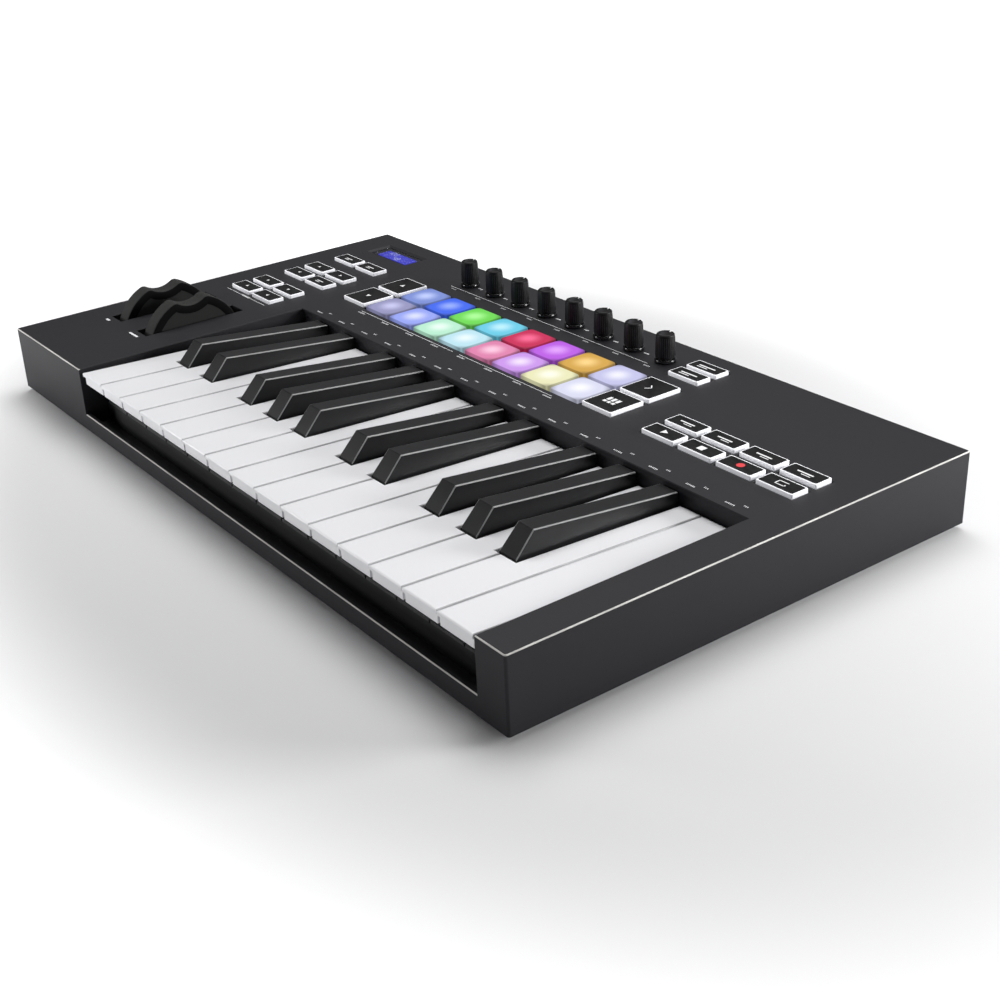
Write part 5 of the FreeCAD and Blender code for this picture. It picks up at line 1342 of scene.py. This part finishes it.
class KEYBOARD_OT_wheels(bpy.types.Operator):
    """Shape the two thumb wheels with their stippled rims"""

    bl_idname = "keyboard.wheels"
    bl_label = "Wheels"

    radius = 29.2 * MM
    width = 10.5 * MM
    axle_drop = 13.6 * MM       # panel surface to the axle
    dip_r = 14.8 * MM
    dip_floor = 24.3 * MM       # axle to the bottom of the thumb dip
    hump_r = 4.0 * MM
    floor = 4.0 * MM            # flat underside below the axle
    recess = 1.2 * MM           # the flank's web below its border
    axle_r = 3.0 * MM
    axle_chamfer = 0.4 * MM

    def execute(self, context):
        wheels = context.scene.keyboard_wheels
        rim = moulded("wheel_rim", tuple(wheels.rim), 0.72, 0.25 * MM, 0.05 * MM, 0.15, 0.06,
                      Specular_IOR_Level=0.2)
        flank = moulded("wheel_flank", tuple(wheels.flank), 0.8, 0.5 * MM, 0.01 * MM, Specular_IOR_Level=0.02)
        for node in ("pitch_wheel", "mod_wheel"):
            self.add_wheel(node, rim, flank)
        return {"FINISHED"}

    def outline(self, inset):
        """(y, z) points round the wheel from the axle, drawn in by inset."""
        outer = self.radius - inset
        dip = self.dip_r + inset
        high = self.dip_floor + self.dip_r
        reach, span = self.radius - self.hump_r, self.dip_r + self.hump_r
        rise = (reach ** 2 - span ** 2 + high ** 2) / (2 * high)
        hump = Vector((math.sqrt(reach ** 2 - rise ** 2), rise))
        round_r = max(self.hump_r - inset, 0.1 * MM)
        start = math.asin(-(self.floor - inset * 0.5) / outer)
        meet = math.atan2(hump.y, hump.x)
        towards = math.atan2(high - hump.y, -hump.x)
        side = [(outer * math.cos(a), outer * math.sin(a)) for a in self.spread(start, meet, 26)]
        side += [(hump.x + round_r * math.cos(a), hump.y + round_r * math.sin(a))
                 for a in self.spread(meet, towards, 8)[1:]]
        bottom = -math.pi / 2
        side += [(dip * math.cos(a), high + dip * math.sin(a))
                 for a in self.spread(math.atan2(hump.y - high, hump.x), bottom, 12)[1:]]
        mirrored = [(-y, z) for y, z in reversed(side[:-1])]
        return side + mirrored

    def spread(self, start, end, count):
        return [start + (end - start) * step / count for step in range(count + 1)]

    def rings(self, node, levels):
        centre = middle(node)
        axle = panel_height() - self.axle_drop
        return [[(centre.x + x, centre.y + y, axle + z) for y, z in self.outline(inset)]
                for x, inset in levels]

    def add_wheel(self, node, rim, flank):
        half = self.width / 2
        step = half - self.recess
        # (from the wheel's middle, inset from its outline), from the sunk web out to the border and the rim
        flank_levels = [(step, 7.4 * MM), (step - 0.25 * MM, 7.0 * MM), (step - 0.25 * MM, 6.2 * MM),
                        (step, 5.8 * MM), (step, 5.1 * MM), (half - 0.15 * MM, 4.8 * MM), (half, 4.6 * MM),
                        (half, 0.75 * MM), (half - 0.25 * MM, 0.35 * MM)]
        left = [(-x, inset) for x, inset in flank_levels]
        right = list(reversed(flank_levels))
        shape = bmesh.new()
        add_loft(shape, self.rings(node, left + right))
        piece = add_piece(node + "_core", mesh_from(node + "_core", shape), node, "wheel_plastic", flank)
        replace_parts(piece, node)
        # the soft rim, with its two rounded shoulders
        band = [(-half + 0.3 * MM, 1.2 * MM), (-half + 0.3 * MM, 0.32 * MM), (-half + 0.6 * MM, 0.06 * MM),
                (-half + 1.1 * MM, 0.0), (half - 1.1 * MM, 0.0), (half - 0.6 * MM, 0.06 * MM),
                (half - 0.3 * MM, 0.32 * MM), (half - 0.3 * MM, 1.2 * MM)]
        shape = bmesh.new()
        add_loft(shape, self.rings(node, band))
        add_piece(node + "_rim", mesh_from(node + "_rim", shape), node, "wheel_plastic", rim)
        self.add_pimples(node, rim)
        self.add_axle(node, flank)

    def add_pimples(self, node, rim):
        """Fine pimples over the part of the rim that shows."""
        wheels = bpy.context.scene.keyboard_wheels
        half = self.width / 2 - 1.0 * MM
        rows = self.rings(node, [(-half, 0.02 * MM), (half, 0.02 * MM)])
        shape = bmesh.new()
        first, second = ([shape.verts.new(point) for point in row] for row in rows)
        for index in range(len(first) - 1):
            shape.faces.new((first[index], first[index + 1], second[index + 1], second[index]))
        strip = mesh_from("rim_strip", shape)
        mesh = grown(pimples_tree(), strip, {
            "Spacing": wheels.spacing, "Radius": wheels.pimple, "Seed": 7, "Finish": rim})
        add_piece(node + "_pimples", mesh, node, "wheel_plastic")

    def add_axle(self, node, flank):
        low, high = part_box(node)
        axle = panel_height() - self.axle_drop
        centre = middle(node)
        shape = bmesh.new()
        end, full = self.axle_chamfer, self.axle_r
        levels = [(low.x, full - end), (low.x + end, full), (high.x - end, full), (high.x, full - end)]
        rings = [[(x, centre.y + a, axle + b) for a, b in circle_outline(r, 32)] for x, r in levels]
        add_loft(shape, rings)
        add_piece(node + "_axle", mesh_from(node + "_axle", shape), node, "wheel_plastic", flank)


class KEYBOARD_OT_display(bpy.types.Operator):
    """Build the lit display under its window"""

    bl_idname = "keyboard.display"
    bl_label = "Display"

    under_panel = 1.5 * MM      # the frame's top below the top of the module
    frame_side, frame_end = 3.8 * MM, 5.4 * MM      # frame shown round the screen
    screen_gap = 0.25 * MM      # screen to lens
    digit_w, digit_h, digit_line = 2.2 * MM, 3.6 * MM, 0.45 * MM
    digit_step = 3.4 * MM
    segments = {"0": "abcdef", "1": "bc", "2": "abged", "4": "fgbc", "8": "abcdefg"}

    def execute(self, context):
        display = context.scene.keyboard_display
        low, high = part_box("display_module")
        lens_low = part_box("display_window")[0].z
        half_x, half_y, spot = plan_of("display_module")
        panel_under = high.z - self.under_panel
        shape = bmesh.new()
        levels = [(0.0, low.z)] + edge_levels(0.3 * MM, panel_under, 3)
        add_loft(shape, slab_rings(half_x, half_y, 1.0 * MM, levels, spot))
        bezel = moulded("display_frame", (0.01, 0.01, 0.012), 0.55, 0.5 * MM, 0.01 * MM)
        mesh = mesh_from("display_frame", shape)
        piece = add_piece("display_frame", mesh, "case", "display_backlight", bezel)
        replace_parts(piece, "display_module")
        inner_x, inner_y = half_x - self.frame_end, half_y - self.frame_side
        top = lens_low - self.screen_gap
        shape = bmesh.new()
        levels = [(0.0, panel_under - 0.1 * MM)] + edge_levels(0.1 * MM, top, 2)
        add_loft(shape, slab_rings(inner_x, inner_y, 0.6 * MM, levels, spot))
        lit = backlight("display_light", tuple(display.glow), display.light, 0.5 * MM)
        add_piece("display_screen", mesh_from("display_screen", shape), "case", "display_backlight", lit)
        self.add_digits(*spot, top, display)
        return {"FINISHED"}

    def add_digits(self, x, y, top, display):
        """Two short rows of plain seven-segment numbers."""
        shape = bmesh.new()
        low, high = top - 0.02 * MM, top + 0.04 * MM
        for row, text in enumerate(("120", "48")):
            for place, digit in enumerate(text):
                left = x - 12 * MM + place * self.digit_step + row * 11 * MM
                bottom = y + 0.8 * MM - row * 4.6 * MM
                self.add_digit(shape, digit, left, bottom, low, high)
        lit = backlight("display_segments", tuple(display.segment), 1.0, 0.4 * MM)
        mesh = mesh_from("display_digits", shape, smooth=False)
        add_piece("display_digits", mesh, "case", "display_backlight", lit)

    def add_digit(self, shape, digit, left, bottom, low, high):
        wide, tall, line = self.digit_w, self.digit_h, self.digit_line
        middle_x, right = left + wide / 2, left + wide
        upper, lower = bottom + tall * 0.75, bottom + tall * 0.25
        spots = {"a": (middle_x, bottom + tall, 0), "g": (middle_x, bottom + tall / 2, 0),
                 "d": (middle_x, bottom, 0), "f": (left, upper, 1), "b": (right, upper, 1),
                 "e": (left, lower, 1), "c": (right, lower, 1)}
        for name in self.segments[digit]:
            x, y, upright = spots[name]
            length = (tall / 2 if upright else wide) - 0.5 * MM
            add_bar(shape, x, y, length, line, low, high, upright * math.pi / 2)


class KEYBOARD_OT_stage(bpy.types.Operator):
    """Set up the floor, lights and camera"""

    bl_idname = "keyboard.stage"
    bl_label = "Stage"

    # where each light stands, what it faces, and its size
    lights = {
        "key_light": ((-0.35, 0.55, 1.9), (0.0, 0.0, 0.0), (1.7, 1.3)),
        "sheen_light": ((-1.4, 1.1, 0.75), (0.0, 0.0, 0.02), (1.7, 0.8)),
        "front_light": ((-0.55, -0.55, 0.2), (-0.2, -0.12, 0.02), (0.3, 0.2)),
        "side_light": ((0.6, 0.5, 0.2), (0.23, 0.1, 0.02), (0.3, 0.2)),
    }
    floor_half = 4.0
    glow_reach = (0.30, 0.55)   # where the floor's painted glow begins and where it is full
    # the glow's centre and stretch, set so the dim floor round the case falls where its shadow lies
    glow_centre = (0.05, 0.0, 0.0)
    glow_shape = (1.0, 1.5, 1.0)

    def execute(self, context):
        stage = context.scene.keyboard_stage
        context.scene.view_settings.view_transform = "Standard"
        self.add_floor(stage)
        self.light_room(context.scene, stage)
        for name, (place, target, size) in self.lights.items():
            self.add_light(name, place, target, size, getattr(stage, name))
        self.add_camera(context.scene, stage)
        return {"FINISHED"}

    def add_floor(self, stage):
        half = self.floor_half
        corners = [(-half, -half, 0), (half, -half, 0), (half, half, 0), (-half, half, 0)]
        mesh = bpy.data.meshes.new("studio_floor")
        mesh.from_pydata(corners, [], [(0, 1, 2, 3)])
        floor = bpy.data.objects.new("studio_floor", mesh)
        mesh.materials.append(self.floor_paint(stage))
        bpy.context.scene.collection.objects.link(floor)

    def floor_paint(self, stage):
        """Pale matt paint with a painted glow that grows away from the case, so the floor near the case stays
        dim like a painted shadow.
        """
        material, tree, shader = new_material("studio_floor_paint")
        place = tree.nodes.new("ShaderNodeTexCoord").outputs["Object"]
        tint = noise_node(tree, place, 2.0, 1.0)
        pale = tuple(stage.floor)
        dim = tuple(0.985 * part for part in pale)
        tree.links.new(mix_colour(tree, tint, (*pale, 1.0), (*dim, 1.0)), shader.inputs["Base Color"])
        distance = tree.nodes.new("ShaderNodeVectorMath")
        distance.operation = "LENGTH"
        shaped = tree.nodes.new("ShaderNodeVectorMath")
        shaped.operation = "MULTIPLY"
        shifted = tree.nodes.new("ShaderNodeVectorMath")
        shifted.operation = "SUBTRACT"
        tree.links.new(place, shifted.inputs[0])
        shifted.inputs[1].default_value = self.glow_centre
        tree.links.new(shifted.outputs["Vector"], shaped.inputs[0])
        shaped.inputs[1].default_value = self.glow_shape
        tree.links.new(shaped.outputs["Vector"], distance.inputs[0])
        # painted light: the floor glows more the farther it is from the case
        glow = fall(tree, distance.outputs["Value"], *self.glow_reach, 0.0, 1.0)
        lit = mix_colour(tree, glow, (0.0, 0.0, 0.0, 1.0), (1.0, 1.0, 1.0, 1.0))
        tree.links.new(lit, shader.inputs["Emission Color"])
        shader.inputs["Emission Strength"].default_value = stage.floor_glow
        shader.inputs["Roughness"].default_value = 0.9
        shader.inputs["Specular IOR Level"].default_value = 0.1
        return material

    def light_room(self, scene, stage):
        """White to the camera, dimmer to the surfaces."""
        world = bpy.data.worlds.new("studio_room")
        world.use_nodes = True
        scene.world = world
        tree = world.node_tree
        tree.nodes.clear()
        seen = tree.nodes.new("ShaderNodeBackground")
        seen.inputs["Color"].default_value = (1.0, 1.0, 1.0, 1.0)
        felt = tree.nodes.new("ShaderNodeBackground")
        felt.inputs["Color"].default_value = (0.96, 0.97, 1.0, 1.0)
        felt.inputs["Strength"].default_value = stage.sky
        path = tree.nodes.new("ShaderNodeLightPath")
        mix = tree.nodes.new("ShaderNodeMixShader")
        output = tree.nodes.new("ShaderNodeOutputWorld")
        tree.links.new(path.outputs["Is Camera Ray"], mix.inputs["Fac"])
        tree.links.new(felt.outputs["Background"], mix.inputs[1])
        tree.links.new(seen.outputs["Background"], mix.inputs[2])
        tree.links.new(mix.outputs["Shader"], output.inputs["Surface"])

    def add_light(self, name, place, target, size, power):
        light = bpy.data.lights.new(name, "AREA")
        light.shape = "RECTANGLE"
        light.size, light.size_y = size
        light.energy = power
        lamp = bpy.data.objects.new(name, light)
        lamp.location = place
        lamp.rotation_euler = (Vector(target) - Vector(place)).to_track_quat("-Z", "Y").to_euler()
        bpy.context.scene.collection.objects.link(lamp)

    def add_camera(self, scene, stage):
        data = bpy.data.cameras.new("studio_camera")
        data.lens = stage.lens
        data.shift_x = stage.shift
        data.clip_start = 0.02
        camera = bpy.data.objects.new("studio_camera", data)
        camera.location = stage.camera_place
        camera.rotation_euler = stage.camera_turn
        scene.collection.objects.link(camera)
        scene.camera = camera


class KEYBOARD_PT_finish(bpy.types.Panel):
    """Buttons that build each group of pieces"""

    bl_idname = "KEYBOARD_PT_finish"
    bl_label = "Controller Keyboard"
    bl_space_type = "VIEW_3D"
    bl_region_type = "UI"
    bl_category = "Keyboard"

    def draw(self, context):
        for operator in OPERATORS:
            self.layout.operator(operator.bl_idname)


OPERATORS = (
    KEYBOARD_OT_frame_finish,
    KEYBOARD_OT_panel_print,
    KEYBOARD_OT_pads,
    KEYBOARD_OT_buttons,
    KEYBOARD_OT_knobs,
    KEYBOARD_OT_wheels,
    KEYBOARD_OT_display,
    KEYBOARD_OT_stage,
)
CLASSES = (PadColour, *SETTINGS.values(), *OPERATORS, KEYBOARD_PT_finish)


def register():
    for cls in CLASSES:
        bpy.utils.register_class(cls)
    for name, settings in SETTINGS.items():
        setattr(bpy.types.Scene, name, PointerProperty(type=settings))


def unregister():
    for name in SETTINGS:
        delattr(bpy.types.Scene, name)
    for cls in reversed(CLASSES):
        bpy.utils.unregister_class(cls)


def main():
    register()
    colours = bpy.context.scene.keyboard_pads.colours
    for hue, depth, heart_depth, brightness in PAD_PALETTE:
        entry = colours.add()
        entry.hue, entry.depth, entry.heart_depth, entry.brightness = hue, depth, heart_depth, brightness
    bpy.ops.keyboard.frame_finish()
    bpy.ops.keyboard.panel_print()
    bpy.ops.keyboard.pads()
    bpy.ops.keyboard.buttons()
    bpy.ops.keyboard.knobs()
    bpy.ops.keyboard.wheels()
    bpy.ops.keyboard.display()
    bpy.ops.keyboard.stage()


if __name__ == "__main__":
    main()
